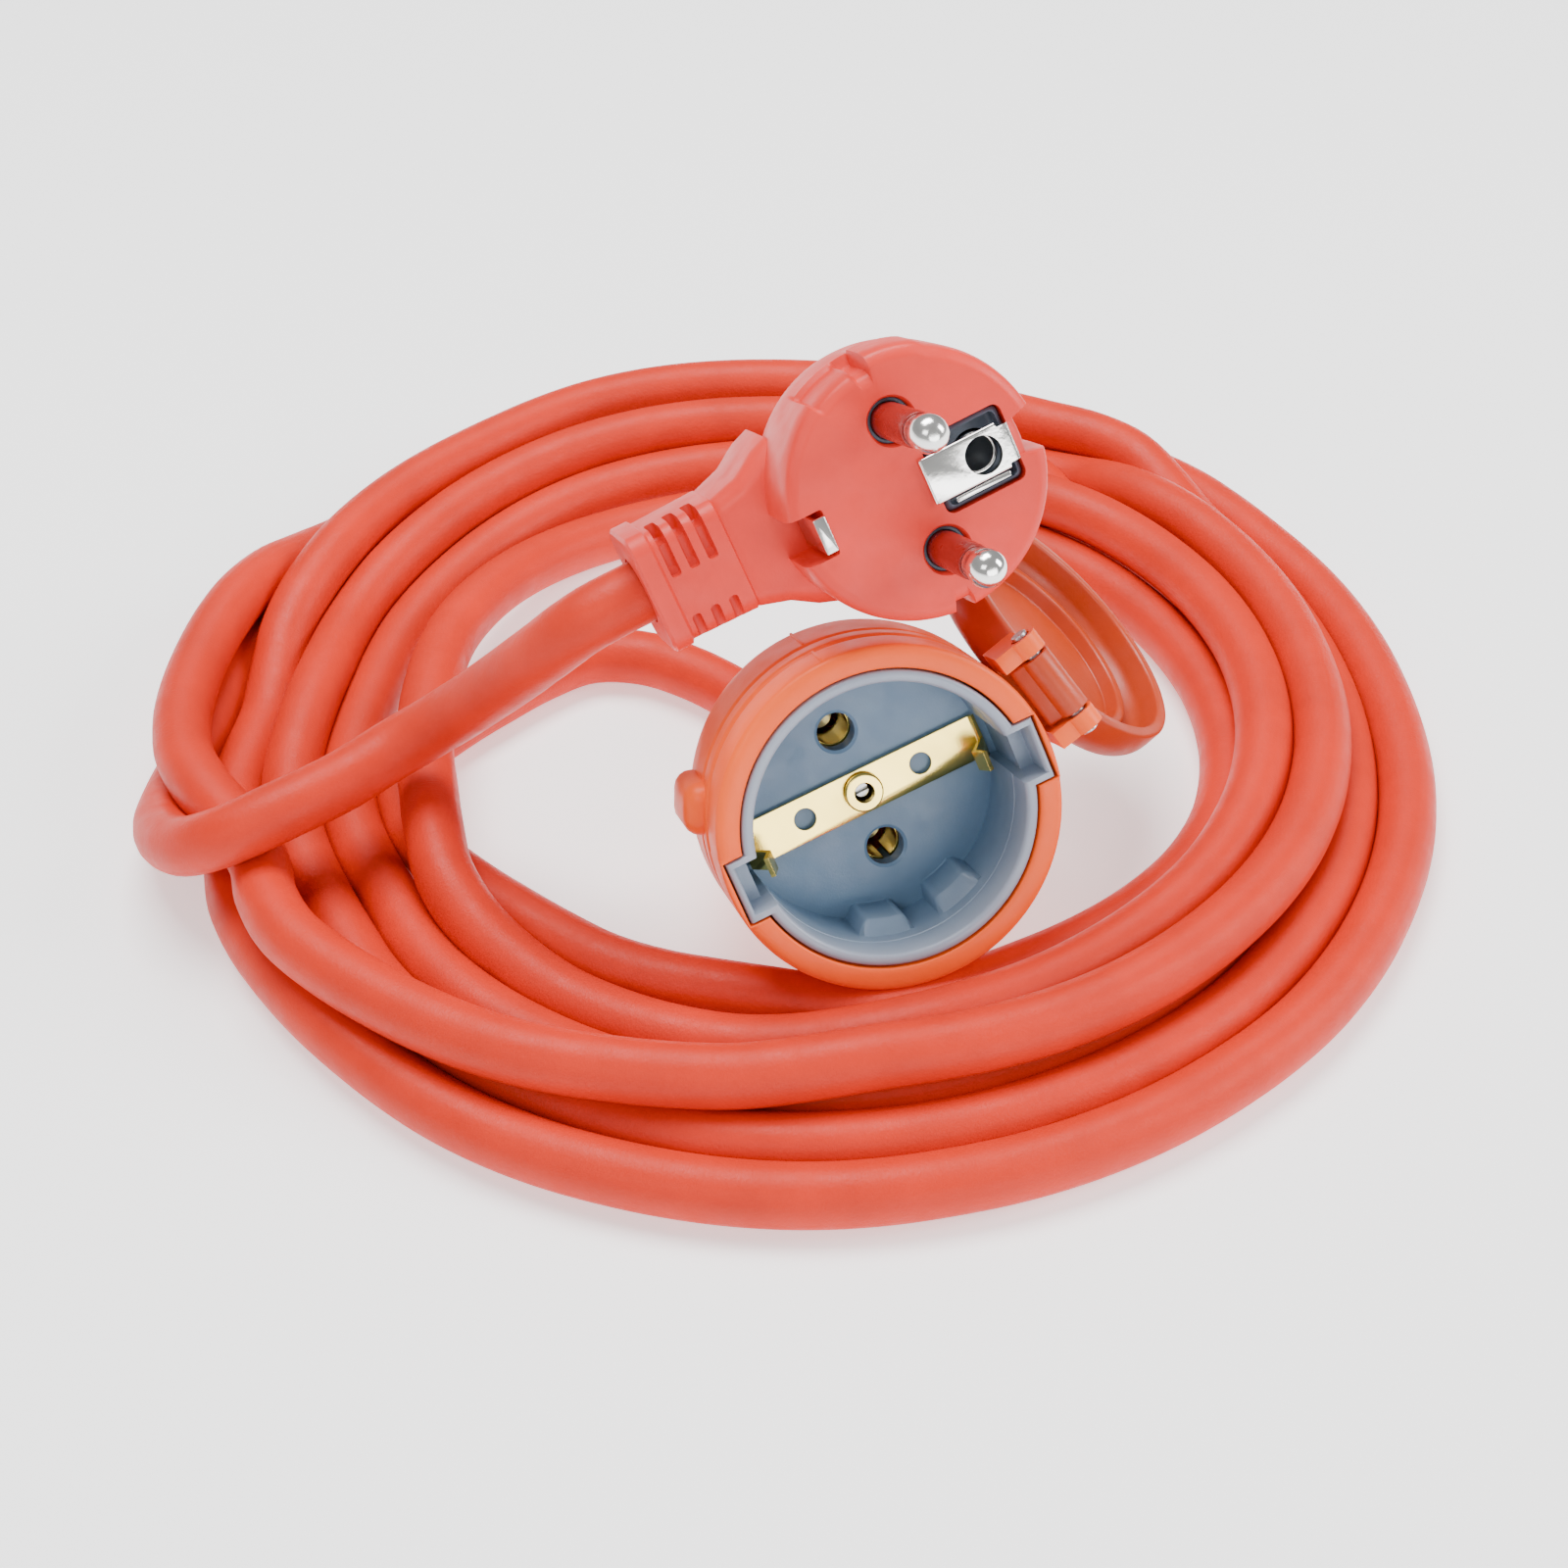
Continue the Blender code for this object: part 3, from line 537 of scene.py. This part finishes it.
def settle(path, held):
    """Let the cord settle: turns that share space part, bends even out, and nothing enters the socket."""
    p = path.copy()
    free = (1.0 - held)[:, None]
    inverse = SOCKET.inverted()
    turn = np.array(inverse.to_3x3())
    shift = np.array(inverse.translation) / MM
    gap = int(3 * CORD_D / STEP)
    near = np.abs(np.arange(len(p))[:, None] - np.arange(len(p))[None, :]) <= gap
    radius, low, high = KEEP_OUT
    for _ in range(ROUNDS):
        p += HOMING * free * (path - p)
        smooth = np.zeros_like(p)
        smooth[1:-1] = 0.5 * (p[:-2] + p[2:]) - p[1:-1]
        again = np.zeros_like(p)
        again[1:-1] = 0.5 * (smooth[:-2] + smooth[2:]) - smooth[1:-1]
        p -= STIFFNESS * free * again
        delta = p[:, None, :] - p[None, :, :]
        apart = np.linalg.norm(delta, axis=2)
        apart[near] = 1e3
        push = np.clip(CORD_D - apart, 0, None) / np.maximum(apart, 1e-6)
        share = free[:, 0][:, None] / np.maximum(free[:, 0][:, None] + free[:, 0][None, :], 1e-6)
        p += PARTING * (delta * (push * share)[:, :, None]).sum(1) * free
        q = p @ turn.T + shift
        ring = np.hypot(q[:, 0], q[:, 1])
        inside = (q[:, 2] > low) & (q[:, 2] < high) & (ring < radius + CORD_R)
        out = np.where(inside, (radius + CORD_R) / np.maximum(ring, 1e-6) - 1, 0.0)[:, None]
        outward = np.concatenate([q[:, :2] * out, np.zeros((len(q), 1))], 1)
        p += CLEARING * (outward @ turn) * free
        p[:, 2] = np.where(free[:, 0] > 0, np.maximum(p[:, 2], CORD_R + 0.02), p[:, 2])
    return p


def cord_route():
    """The whole cord, in millimetres, from inside the socket to inside the plug's neck."""
    start = placed([(0, 0, -39.0), (0, 0, -48.0), (0, 0, BOOT_END)], SOCKET) / MM
    end = placed([(-38.5, 0, NECK_Z), (-30.0, 0, NECK_Z), (-19.0, 0, NECK_Z)], PLUG) / MM
    route = np.concatenate([start, SOCKET_LEAD, coil_turns(), PLUG_LEAD[::-1], end])
    path = evenly(through(route, 1.0), STEP)
    along = distances(path)
    left = along[-1] - along
    held = (np.clip((SOCKET_HELD[0] - along) / SOCKET_HELD[1], 0, 1)
            + np.clip((PLUG_HELD[0] - left) / PLUG_HELD[1], 0, 1))
    path = settle(path, np.clip(held, 0, 1))
    return evenly(through(evenly(path, 9.0), 1.0), 2.0)


def tube_rows(path, radius, around=20):
    """A round section carried along a path: each ring lies across the path, and its ends close to points."""
    along = np.gradient(path, axis=0)
    along /= np.linalg.norm(along, axis=1)[:, None]
    side = np.cross(along, (0, 0, 1.0))
    side /= np.linalg.norm(side, axis=1)[:, None]
    up = np.cross(side, along)
    angle = np.linspace(0, 2 * np.pi, around, endpoint=False)[None, :, None]
    rows = path[:, None, :] + radius * (np.cos(angle) * side[:, None, :] + np.sin(angle) * up[:, None, :])
    first = np.repeat(path[:1, None, :], around, axis=1)
    last = np.repeat(path[-1:, None, :], around, axis=1)
    return np.concatenate([first, rows, last])


def make_cord():
    """The cord from end to end, with its path and its length in metres."""
    path = cord_route() * MM
    rows = tube_rows(path, CORD_R * MM)
    cord = skin("cord", rows)
    mesh = cord.data
    uv_point = cord_uv(places(mesh), path)
    corners = np.empty(len(mesh.loops), np.int32)
    mesh.loops.foreach_get("vertex_index", corners)
    layer = mesh.uv_layers.new(name="sheath")
    layer.data.foreach_set("uv", uv_point[corners].astype(np.float32).ravel())
    dress(cord, "cord_red", instead=("cord_coil", "cord_plug_lead", "cord_socket_lead"))
    return cord, path, float(distances(path)[-1])


def cord_uv(points, path):
    """Each point's distance along the cord, and its height round it, both in cord diameters."""
    along = distances(path)
    nearest = np.empty(len(points), int)
    batch = 4000
    for start in range(0, len(points), batch):
        block = points[start:start + batch]
        nearest[start:start + batch] = np.argmin(((block[:, None, :] - path[None]) ** 2).sum(2), axis=1)
    offset = points - path[nearest]
    return np.stack([along[nearest], offset[:, 2]], -1) / (CORD_D * MM)


set_camera()
set_studio()
make_floor()
cord, cord_path, cord_length = make_cord()


# ---- trailing socket ----------------------------------------------------------------------------
def notched(angle, radius, reach, half):
    """Radius of a round outline with a square notch out to a reach on both sides of X: the nearer of the
    notch's end, reach / cos a, and its side, half / sin a, but never less than the round."""
    notch = np.minimum(reach / np.maximum(np.abs(np.cos(angle)), 1e-6),
                       half / np.maximum(np.abs(np.sin(angle)), 1e-6))
    return np.maximum(radius, notch)


def notch_angles(*outlines, steps=150):
    """Angles round an outline, with extra ones at each notch's corners."""
    angles = list(np.linspace(0, 2 * np.pi, steps, endpoint=False))
    for radius, reach, half in outlines:
        for corner in (math.atan2(half, reach), math.asin(half / radius)):
            for base in (corner, -corner, math.pi - corner, math.pi + corner):
                angles += [(base + step) % (2 * math.pi) for step in (0.0, 0.004, -0.004)]
    return np.unique(np.round(angles, 6))


# Notched outlines: the round's radius, the notch's reach from the middle, and half its width.
RING_NOTCH = (21.5, 23.9, 4.95)
LOBE = (21.2, 23.6, 4.7)
WELL_FRONT = (WELL_R, 22.6, 3.7)
WELL_DEEP = (WELL_R, 20.5, 3.7)
RIB_ANGLES = (72.0, 108.0, 252.0, 288.0)
LIP_LIGHT_FADE = (-15.0, -1.0)                # z from where the insert's plastic turns paler, as painted light on the lip, to where it has turned fully
LUG_ANGLE = math.radians(155.9)


def make_front_ring():
    """The collar: a turned section whose inner radius follows the notched outline."""
    angle = notch_angles(RING_NOTCH)
    inner = notched(angle, *RING_NOTCH)
    section = eased([(1.0, 0.0), (0.0, 0.0), (0.0, -7.3), (0.85, -7.4), (1.0, -6.7)],
                    [0.9, 0.35, 0.3, 0.3, 0.5])
    rows = []
    for part, z in section:
        r = inner + (RING_R - inner) * part
        rows.append(np.stack([r * np.cos(angle), r * np.sin(angle), np.full_like(angle, z)], -1))
    ring = skin("front_collar", np.array(rows), SOCKET, loop=True)
    dress(ring, "housing_orange", instead=("front_ring",))


def make_insert():
    """The well: notched outlines stacked from the back, over the lip, down the wall and across the floor."""
    angle = notch_angles(LOBE, WELL_FRONT, WELL_DEEP, steps=180)
    c, s = np.cos(angle), np.sin(angle)
    ribs = np.zeros_like(angle)
    for centre in RIB_ANGLES:
        off = np.abs((np.degrees(angle) - centre + 180) % 360 - 180)
        ribs = np.maximum(ribs, np.clip((10.4 - off) / 0.5, 0, 1))

    def row(radius, z):
        radius = np.broadcast_to(radius, angle.shape)
        return np.stack([radius * c, radius * s, np.full_like(angle, z)], -1)

    def lobe(inset):
        return notched(angle, *LOBE) - inset

    def well(inset, outline):
        return notched(angle, *outline) + inset

    def ribbed(depth):
        return well(0.0, WELL_DEEP) * (1 - ribs) + (WELL_R - depth) * ribs

    rows = [row(0.0, -20.5), row(21.2, -20.5), row(21.2, -7.2), row(21.22, -7.1), row(lobe(0.0), -7.0),
            row(lobe(0.0), -0.75), row(lobe(0.10), -0.4), row(lobe(0.3), -0.2), row(lobe(0.6), -0.12),
            row(well(0.55, WELL_FRONT), -0.14), row(well(0.25, WELL_FRONT), -0.25),
            row(well(0.08, WELL_FRONT), -0.5), row(well(0.0, WELL_FRONT), -0.8),
            row(well(0.0, WELL_FRONT), -5.9), row(well(-0.1, WELL_FRONT), -6.0),
            row(well(0.0, WELL_DEEP), -6.0), row(well(0.0, WELL_DEEP), -8.6), row(ribbed(0.15), -8.7),
            row(ribbed(2.1), -9.9), row(ribbed(2.3), -10.2), row(ribbed(2.3), -17.3),
            row(ribbed(2.5), WELL_FLOOR), row(17.0, WELL_FLOOR), row(0.0, WELL_FLOOR)]
    insert = skin("well_insert", np.array(rows), SOCKET)
    cutters = []
    for y, radius in ((PIN_Y, 2.8), (-PIN_Y, 2.8), (0.0, 2.1)):
        hole = turned(np.array([(0.0, -16.0), (radius + 0.5, -17.0), (radius + 0.45, -17.52),
                                (radius, -17.8), (radius, -21.5), (0.0, -21.5)]), 48)
        hole[..., 1] += y
        cutters.append(skin("hole", hole, SOCKET))
    carve(insert, cutters)
    # The lip attribute blends the insert's colour from painted shade in the well to painted light at the
    # lip.
    local = placed(places(insert.data) / MM, SOCKET.inverted()) / MM
    layer = insert.data.attributes.new("lip", "FLOAT", "POINT")
    layer.data.foreach_set("value", np.interp(local[:, 2], LIP_LIGHT_FADE, (0.0, 1.0)).astype(np.float32))
    dress(insert, "insert_grey", instead=("socket_insert",))


def make_housing():
    """The tapering shell behind the collar, with a groove behind its front bead."""
    outer = [(24.0, -7.6), (RING_R, -8.3), (RING_R, -11.0), (24.45, -11.3), (24.45, -11.9), (RING_R, -12.2),
             (RING_R, -20.0), (23.1, -26.0), (19.6, -32.5), (15.0, -41.0), (10.6, -48.9), (9.2, -51.9)]
    inner = [(5.2, -51.9), (5.2, -49.6), (8.2, -48.4), (12.8, -40.3), (17.3, -31.8), (20.8, -25.4),
             (22.6, -20.3), (22.6, -7.6)]
    easing = [0.4, 0.5, 0.3, 0.15, 0.15, 0.3, 3.0, 3.0, 3.0, 3.0, 2.5, 0.4] + [0.3, 0.3] + [1.0] * 5 + [0.3]
    shell = skin("rear_shell", turned(eased(outer + inner, easing), 144), SOCKET, loop=True)
    dress(shell, "housing_orange", instead=("rear_housing",))
    lug = solid_block((21.5, -3.9, -20.4), (27.4, 3.9, -8.8), 2.5, 4)
    dress(skin("shell_lug", lug, SOCKET @ Matrix.Rotation(LUG_ANGLE, 4, "Z")), "housing_orange")
    for number, (low, high) in enumerate(((-7.2, -0.9), (-20.4, -12.4))):
        seam = solid_block((-0.22, 24.3, low), (0.22, RING_R + 0.18, high), 0.15, 2)
        dress(skin(f"mould_seam_{number}", seam, SOCKET), "housing_orange")


def make_boot():
    """The bend relief: a cone of ribs over the cord where it leaves the shell."""
    profile = [(9.0, -52.1), (8.6, -53.4), (7.5, -53.7), (7.5, -54.4), (8.2, -54.7), (8.0, -55.4),
               (7.0, -55.7), (7.0, -56.3), (7.5, -56.6), (7.2, -57.8), (CORD_BORE, BOOT_END),
               (CORD_BORE, -52.1)]
    boot = skin("cord_relief", turned(eased(profile, 0.3), 72), SOCKET, loop=True)
    dress(boot, "housing_orange", instead=("cord_boot",))


def make_lid():
    """The lid: a cup with a rolled rim, a raised ring inside and a soft dome outside."""
    profile = [(0.0, 8.4), (18.0, 8.4), (20.2, 7.5), (21.4, 5.9), (21.9, 4.4), (21.9, 0.4), (20.0, 0.4),
               (20.0, 4.6), (18.9, 6.2), (17.3, 6.9), (17.1, 6.9), (16.9, 4.4), (15.4, 4.4), (15.2, 6.9),
               (0.0, 6.9)]
    easing = [0, 1.5, 1.5, 1.2, 1.0, 0.7, 0.7, 0.9, 0.9, 0.1, 0.1, 0.5, 0.5, 0.3, 0]
    cup = skin("lid_cup", turned(eased(profile, easing, loop=False), 144), LID_FRAME)
    knuckle = turned(eased([(2.2, 4.8), (2.2, -4.8), (0.4, -4.8), (0.4, 4.8)], 0.25), 48)
    bore = turned(np.array([(0.0, 6.0), (1.5, 6.0), (1.5, -6.0), (0.0, -6.0)]), 32)
    arm = solid_block((-9.3, -4.9, 2.8), (1.25, 4.9, 4.3), 0.55, 3)
    web = solid_block((-1.2, -4.8, 0.2), (1.2, 4.8, 4.25), 0.4, 2)
    along = LID_KNUCKLE @ Matrix.Rotation(-math.pi / 2, 4, "X")
    carve(cup, [skin("bore", bore, along)],
          [skin("arm", arm, LID_KNUCKLE), skin("web", web, LID_KNUCKLE),
           skin("knuckle", knuckle, along, loop=True)])
    # The lid's finish carries painted shade: the housing orange made darker.
    dress(cup, "lid_red", body=LID, instead=("lid", "lid_seal"))


make_front_ring()
make_insert()
make_housing()
make_boot()
make_lid()


# ---- plug ---------------------------------------------------------------------------------------
FLANK = 1.2                             # degrees over which a groove's side falls away
# Cuts into the disc's rim: the middle's angle, half the width in degrees, and the depth.
FAR_GROOVE = (0.0, 9.2, 2.7)
UPPER_NOTCH = (94.0, 3.2, 1.7)
LOWER_NOTCH = (268.0, 3.6, 1.5)
# Between two angles, a flat cut below the rim and a pad raised over it, and how far.
RIM_FLAT = (97.5, 120.0, 0.75)
RIM_PAD = (62.0, 90.5, 0.55)
# Blocks cut out of the disc: low corner, high corner, edge radius and steps.
POCKETS = {
    "window": ((2.0, -5.5, -14.0), (14.1, 5.5, 2.0), 1.2, 3),
    "recess": ((-22.0, -3.3, -11.2), (-13.4, 3.3, 2.0), 0.4, 2),
    "wires": ((-20.0, -4.8, -22.5), (-6.0, 4.8, -14.5), 0.4, 2),
    "spread": ((-7.0, -11.8, -22.4), (2.4, 11.8, -16.6), 0.4, 2),
}


def groove(angle, centre, half, depth):
    """The full depth within half degrees of a centre, easing to 0 over the flank."""
    off = np.abs((angle - centre + 180) % 360 - 180)
    return depth * np.clip((half + FLANK - off) / FLANK, 0, 1)


def make_plug_disc():
    """The moulded disc: r(a, z) = profile(z), less the grooves and flats that run back from the face."""
    profile = eased([(0.0, 0.0), (16.9, 0.0), (18.1, -0.7), (18.55, -2.4), (18.55, -9.0), (18.5, -15.0),
                     (17.6, -19.5), (14.8, -24.0), (9.0, -26.8), (0.0, -27.6)],
                    [0, 0.5, 0.5, 1.2, 0.5, 2, 2.4, 3, 3, 0], loop=False)
    corners = (FAR_GROOVE[:2], UPPER_NOTCH[:2], LOWER_NOTCH[:2], (97.5, 0.5), (119.0, 0.5), (141.0, 0.5))
    edges = [c + e * (h + d) for c, h in corners for e in (1, -1) for d in (0.0, FLANK)]
    angle = np.unique(np.concatenate([np.linspace(0, 360, 144, endpoint=False), np.array(edges) % 360]))
    r = profile[:, 0][:, None]
    z = profile[:, 1][:, None]
    rim = np.clip((r - 14.0) / 2.4, 0, 1)
    front = np.clip((z + 9.4) / 0.5, 0, 1)
    deep = np.clip((z + 13.8) / 0.5, 0, 1)
    cut = groove(angle, *FAR_GROOVE) * deep
    cut = cut + (groove(angle, *UPPER_NOTCH) + groove(angle, *LOWER_NOTCH)) * front
    start, end, depth = RIM_FLAT
    cut = cut + depth * np.clip((angle - start) / FLANK, 0, 1) * np.clip((end - angle) / FLANK, 0, 1) * front
    start, end, height = RIM_PAD
    cut = cut - height * np.clip((end - angle) / 1.0, 0, 1) * np.clip((angle - start) / 6, 0, 1) * front
    r = r - cut * rim
    c, s = np.cos(np.radians(angle)), np.sin(np.radians(angle))
    disc = skin("plug_disc", np.stack([r * c, r * s, np.broadcast_to(z, r.shape)], -1), PLUG)
    cutters = [skin(name, solid_block(*block), PLUG) for name, block in POCKETS.items()]
    for y in (PIN_Y, -PIN_Y):
        bore = turned(np.array([(0.0, 1.5), (4.9, 1.5), (3.25, -0.25), (3.1, -0.8), (3.1, -18.0),
                                (0.0, -18.0)]), 48)
        bore[..., 1] += y
        cutters.append(skin("bore", bore, PLUG))
    carve(disc, cutters)
    dress(disc, "plug_coral", instead=("plug_body",))


def block_row(x, half_y, half_z, radius):
    """A rounded rectangle across the neck: corners of the given radius, eight points each."""
    turns = np.concatenate([np.linspace(q, q + np.pi / 2, 8) for q in np.arange(4) * np.pi / 2])
    cy = np.repeat([half_y - radius, radius - half_y, radius - half_y, half_y - radius], 8)
    cz = np.repeat([half_z - radius, half_z - radius, radius - half_z, radius - half_z], 8)
    return np.stack([np.full(32, x), cy + radius * np.cos(turns), NECK_Z + cz + radius * np.sin(turns)], -1)


# The slots over the neck's two long edges: half width along X, then y from and to, then z from and to,
# from the neck's middle. Two blocks that meet make one slot.
SLOTS = ((0.75, 1.2, 9.6, 5.0, 9.0), (0.75, 5.6, 9.6, 1.0, 9.0),
         (0.70, -9.6, -4.6, 5.0, 9.0), (0.70, -9.6, -6.0, -4.0, 4.0))


def make_plug_neck():
    """The neck: rounded rectangles along -X, an open bore for the cord, and slots over both long edges."""
    outer_end, inner_end = NECK_ENDS
    outside = [(inner_end, 8.0, 7.0, 2.4), (-24.5, 8.3, 7.3, 2.6), (-34.3, 8.1, 7.2, 2.6),
               (-34.7, 8.6, 7.7, 2.8), (-37.1, 8.6, 7.7, 2.8), (outer_end, 8.2, 7.3, 2.6)]
    rows = [block_row(*row) for row in outside]
    circle = np.linspace(0, 2 * np.pi, 32, endpoint=False) + np.pi / 32
    for x in NECK_ENDS:
        rows.append(np.stack([np.full(32, x), CORD_BORE * np.cos(circle),
                              NECK_Z + CORD_BORE * np.sin(circle)], -1))
    neck = skin("plug_relief", np.array(rows), PLUG, loop=True)
    cutters = []
    for x in (-32.9, -30.1, -27.3):
        for half, y0, y1, z0, z1 in SLOTS:
            slot = solid_block((x - half, y0, NECK_Z + z0), (x + half, y1, NECK_Z + z1))
            cutters.append(skin("slot", slot, PLUG))
    carve(neck, cutters)
    dress(neck, "plug_coral", instead=("plug_neck",))
    middle = placed(np.linspace((-34.0, 0, NECK_Z), (-24.2, 0, NECK_Z), 4), PLUG)
    dress(skin("relief_core", tube_rows(middle, 5.6 * MM, 32)), "plug_coral")
    root = [(-24.6, 7.8, 6.8, 2.4), (-24.2, 8.2, 7.2, 2.6), (-23.4, 8.4, 7.4, 2.6), (-20.0, 9.4, 7.9, 2.8),
            (-16.6, 11.6, 8.2, 3.2), (-14.0, 12.6, 8.2, 3.4)]
    dress(skin("neck_root", np.array([block_row(*row) for row in root]), PLUG, angle=32.0), "plug_coral")


def make_window():
    """The earth window: slate frame, bright plate with its sprung tab, and the dark tube behind it."""
    frame_block = skin("window_block", solid_block((2.15, -5.35, -13.6), (13.95, 5.35, -0.5), 1.1, 3), PLUG)
    hollow = skin("hollow", solid_block((3.0, -4.7, -3.2), (13.2, 4.7, 1.0), 0.8, 3), PLUG)
    bore = turned(np.array([(0.0, 2.0), (3.2, 2.0), (3.2, -12.6), (0.0, -12.6)]), 40)
    bore[..., 0] += TUBE_X
    carve(frame_block, [hollow, skin("bore", bore, PLUG)])
    dress(frame_block, "carrier_navy", instead=("contact_carrier",))
    plate = skin("window_plate", solid_block((0.9, -3.3, 0.03), (14.0, 3.3, 0.75), 0.3, 3), PLUG)
    hole = turned(np.array([(0.0, 2.0), (2.9, 2.0), (2.62, 0.62), (2.55, 0.3), (2.55, -1.0),
                            (0.0, -1.0)]), 48)
    hole[..., 0] += TUBE_X
    corners = [skin("corner", solid_block((12.3, y - 0.9, -1.0), (15.0, y + 0.9, 2.0), 0.3, 2), PLUG)
               for y in (3.5, -3.5)]
    carve(plate, [skin("hole", hole, PLUG), *corners])
    dress(plate, "nickel", instead=("earth_plate",))
    tab = solid_block((3.9, -4.55, -1.0), (12.2, -3.75, -0.45), 0.2, 2)
    dress(skin("window_tab", tab, PLUG), "nickel")
    tube = turned(eased([(2.9, -2.5), (2.9, -12.4), (2.4, -12.4), (2.4, -2.5)], 0.2), 40)
    tube[..., 0] += TUBE_X
    dress(skin("window_tube", tube, PLUG, loop=True), "nickel", instead=("earth_receptacle",))


def make_clips():
    """Side earth clips: the neck-side one folds over at the face, the far one stays deep in its groove."""
    near = skin("side_clip_neck", solid_block((-15.3, -2.55, -10.0), (-14.6, 2.55, 0.9), 0.25, 2), PLUG)
    fold = skin("fold", solid_block((-15.3, -2.55, 0.3), (-13.5, 2.55, 0.95), 0.25, 2), PLUG)
    carve(near, joins=[fold])
    dress(near, "nickel", instead=("earth_clip_neck",))
    far = skin("side_clip_far", solid_block((15.2, -2.4, -12.0), (15.8, 2.4, -3.0), 0.2, 2), PLUG)
    dress(far, "nickel", instead=("earth_clip_far",))


def make_pins():
    """Pins: a ball tip on a waisted shank, a tapering sleeve and a dark collar at the root."""
    for name, y in (("live", PIN_Y), ("neutral", -PIN_Y)):
        shank = eased([(0.0, 19.0), (1.1, 18.9), (2.05, 18.2), (2.55, 17.2), (2.6, 16.0), (2.35, 14.6),
                       (2.15, 13.2), (2.15, 11.1), (1.8, 11.0), (1.8, -11.0), (2.6, -11.2), (2.6, -15.8),
                       (0.0, -15.8)],
                      [0, 0.6, 0.6, 0.6, 0.6, 1.0, 0.5, 0.1, 0.1, 0.1, 0.1, 0.1, 0], steps=6, loop=False)
        sleeve = eased([(2.35, 12.2), (2.45, 11.0), (2.5, -10.7), (2.1, -10.7), (2.15, 12.3)], 0.15)
        collar = eased([(3.05, -1.3), (3.05, -3.0), (2.55, -3.0), (2.55, -1.3)], 0.15)
        for rows, label, finish, closed, node in (
                (turned(shank, 64), "pin", "nickel", False, "plug_pin_"),
                (turned(sleeve, 64), "pin_sleeve", "sleeve_red", True, "pin_sleeve_"),
                (turned(collar, 64), "pin_collar", "carrier_navy", True, None)):
            rows[..., 1] += y
            piece = skin(f"{name}_{label}", rows, PLUG, loop=closed)
            dress(piece, finish, instead=(node + name,) if node else ())


make_plug_disc()
make_plug_neck()
make_window()
make_clips()
make_pins()


# ---- the other design pieces --------------------------------------------------------------------
# Rounded copies: for each design piece, the copy's name, its finish and the width of its rounded edges.
ROUNDED = {
    "contact_block": ("rear_contact_block", "insert_grey", 0.4),
    "earth_bracket": ("earth_strip", "brass", 0.12),
    "earth_eyelet": ("earth_rivet", "brass", 0.12),
    "earth_screw": ("rivet_screw", "steel", 0.1),
    "socket_contact_live": ("live_contact", "brass", 0.12),
    "socket_contact_neutral": ("neutral_contact", "brass", 0.12),
    "terminal_screw_live": ("live_terminal_screw", "steel", 0.15),
    "terminal_screw_neutral": ("neutral_terminal_screw", "steel", 0.15),
    "clamp_bar_lower": ("lower_clamp", "steel", 0.3),
    "clamp_bar_upper": ("upper_clamp", "steel", 0.3),
    "clamp_screw_a": ("clamp_bolt_a", "steel", 0.15),
    "clamp_screw_b": ("clamp_bolt_b", "steel", 0.15),
    "hinge_bracket": ("hinge_seat", "housing_orange", 0.4),
    "hinge_pin": ("hinge_rod", "steel", 0.2),
}
for node, (name, finish, width) in ROUNDED.items():
    dress(softened(node, name, width), finish, instead=(node,))

WIRES = {"live": "wire_brown", "neutral": "wire_blue", "earth": "wire_green"}
for part, finish in WIRES.items():
    for owner in ("socket", "plug"):
        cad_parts[f"{owner}_wire_{part}"].material_slots[0].material = FINISHES[finish]
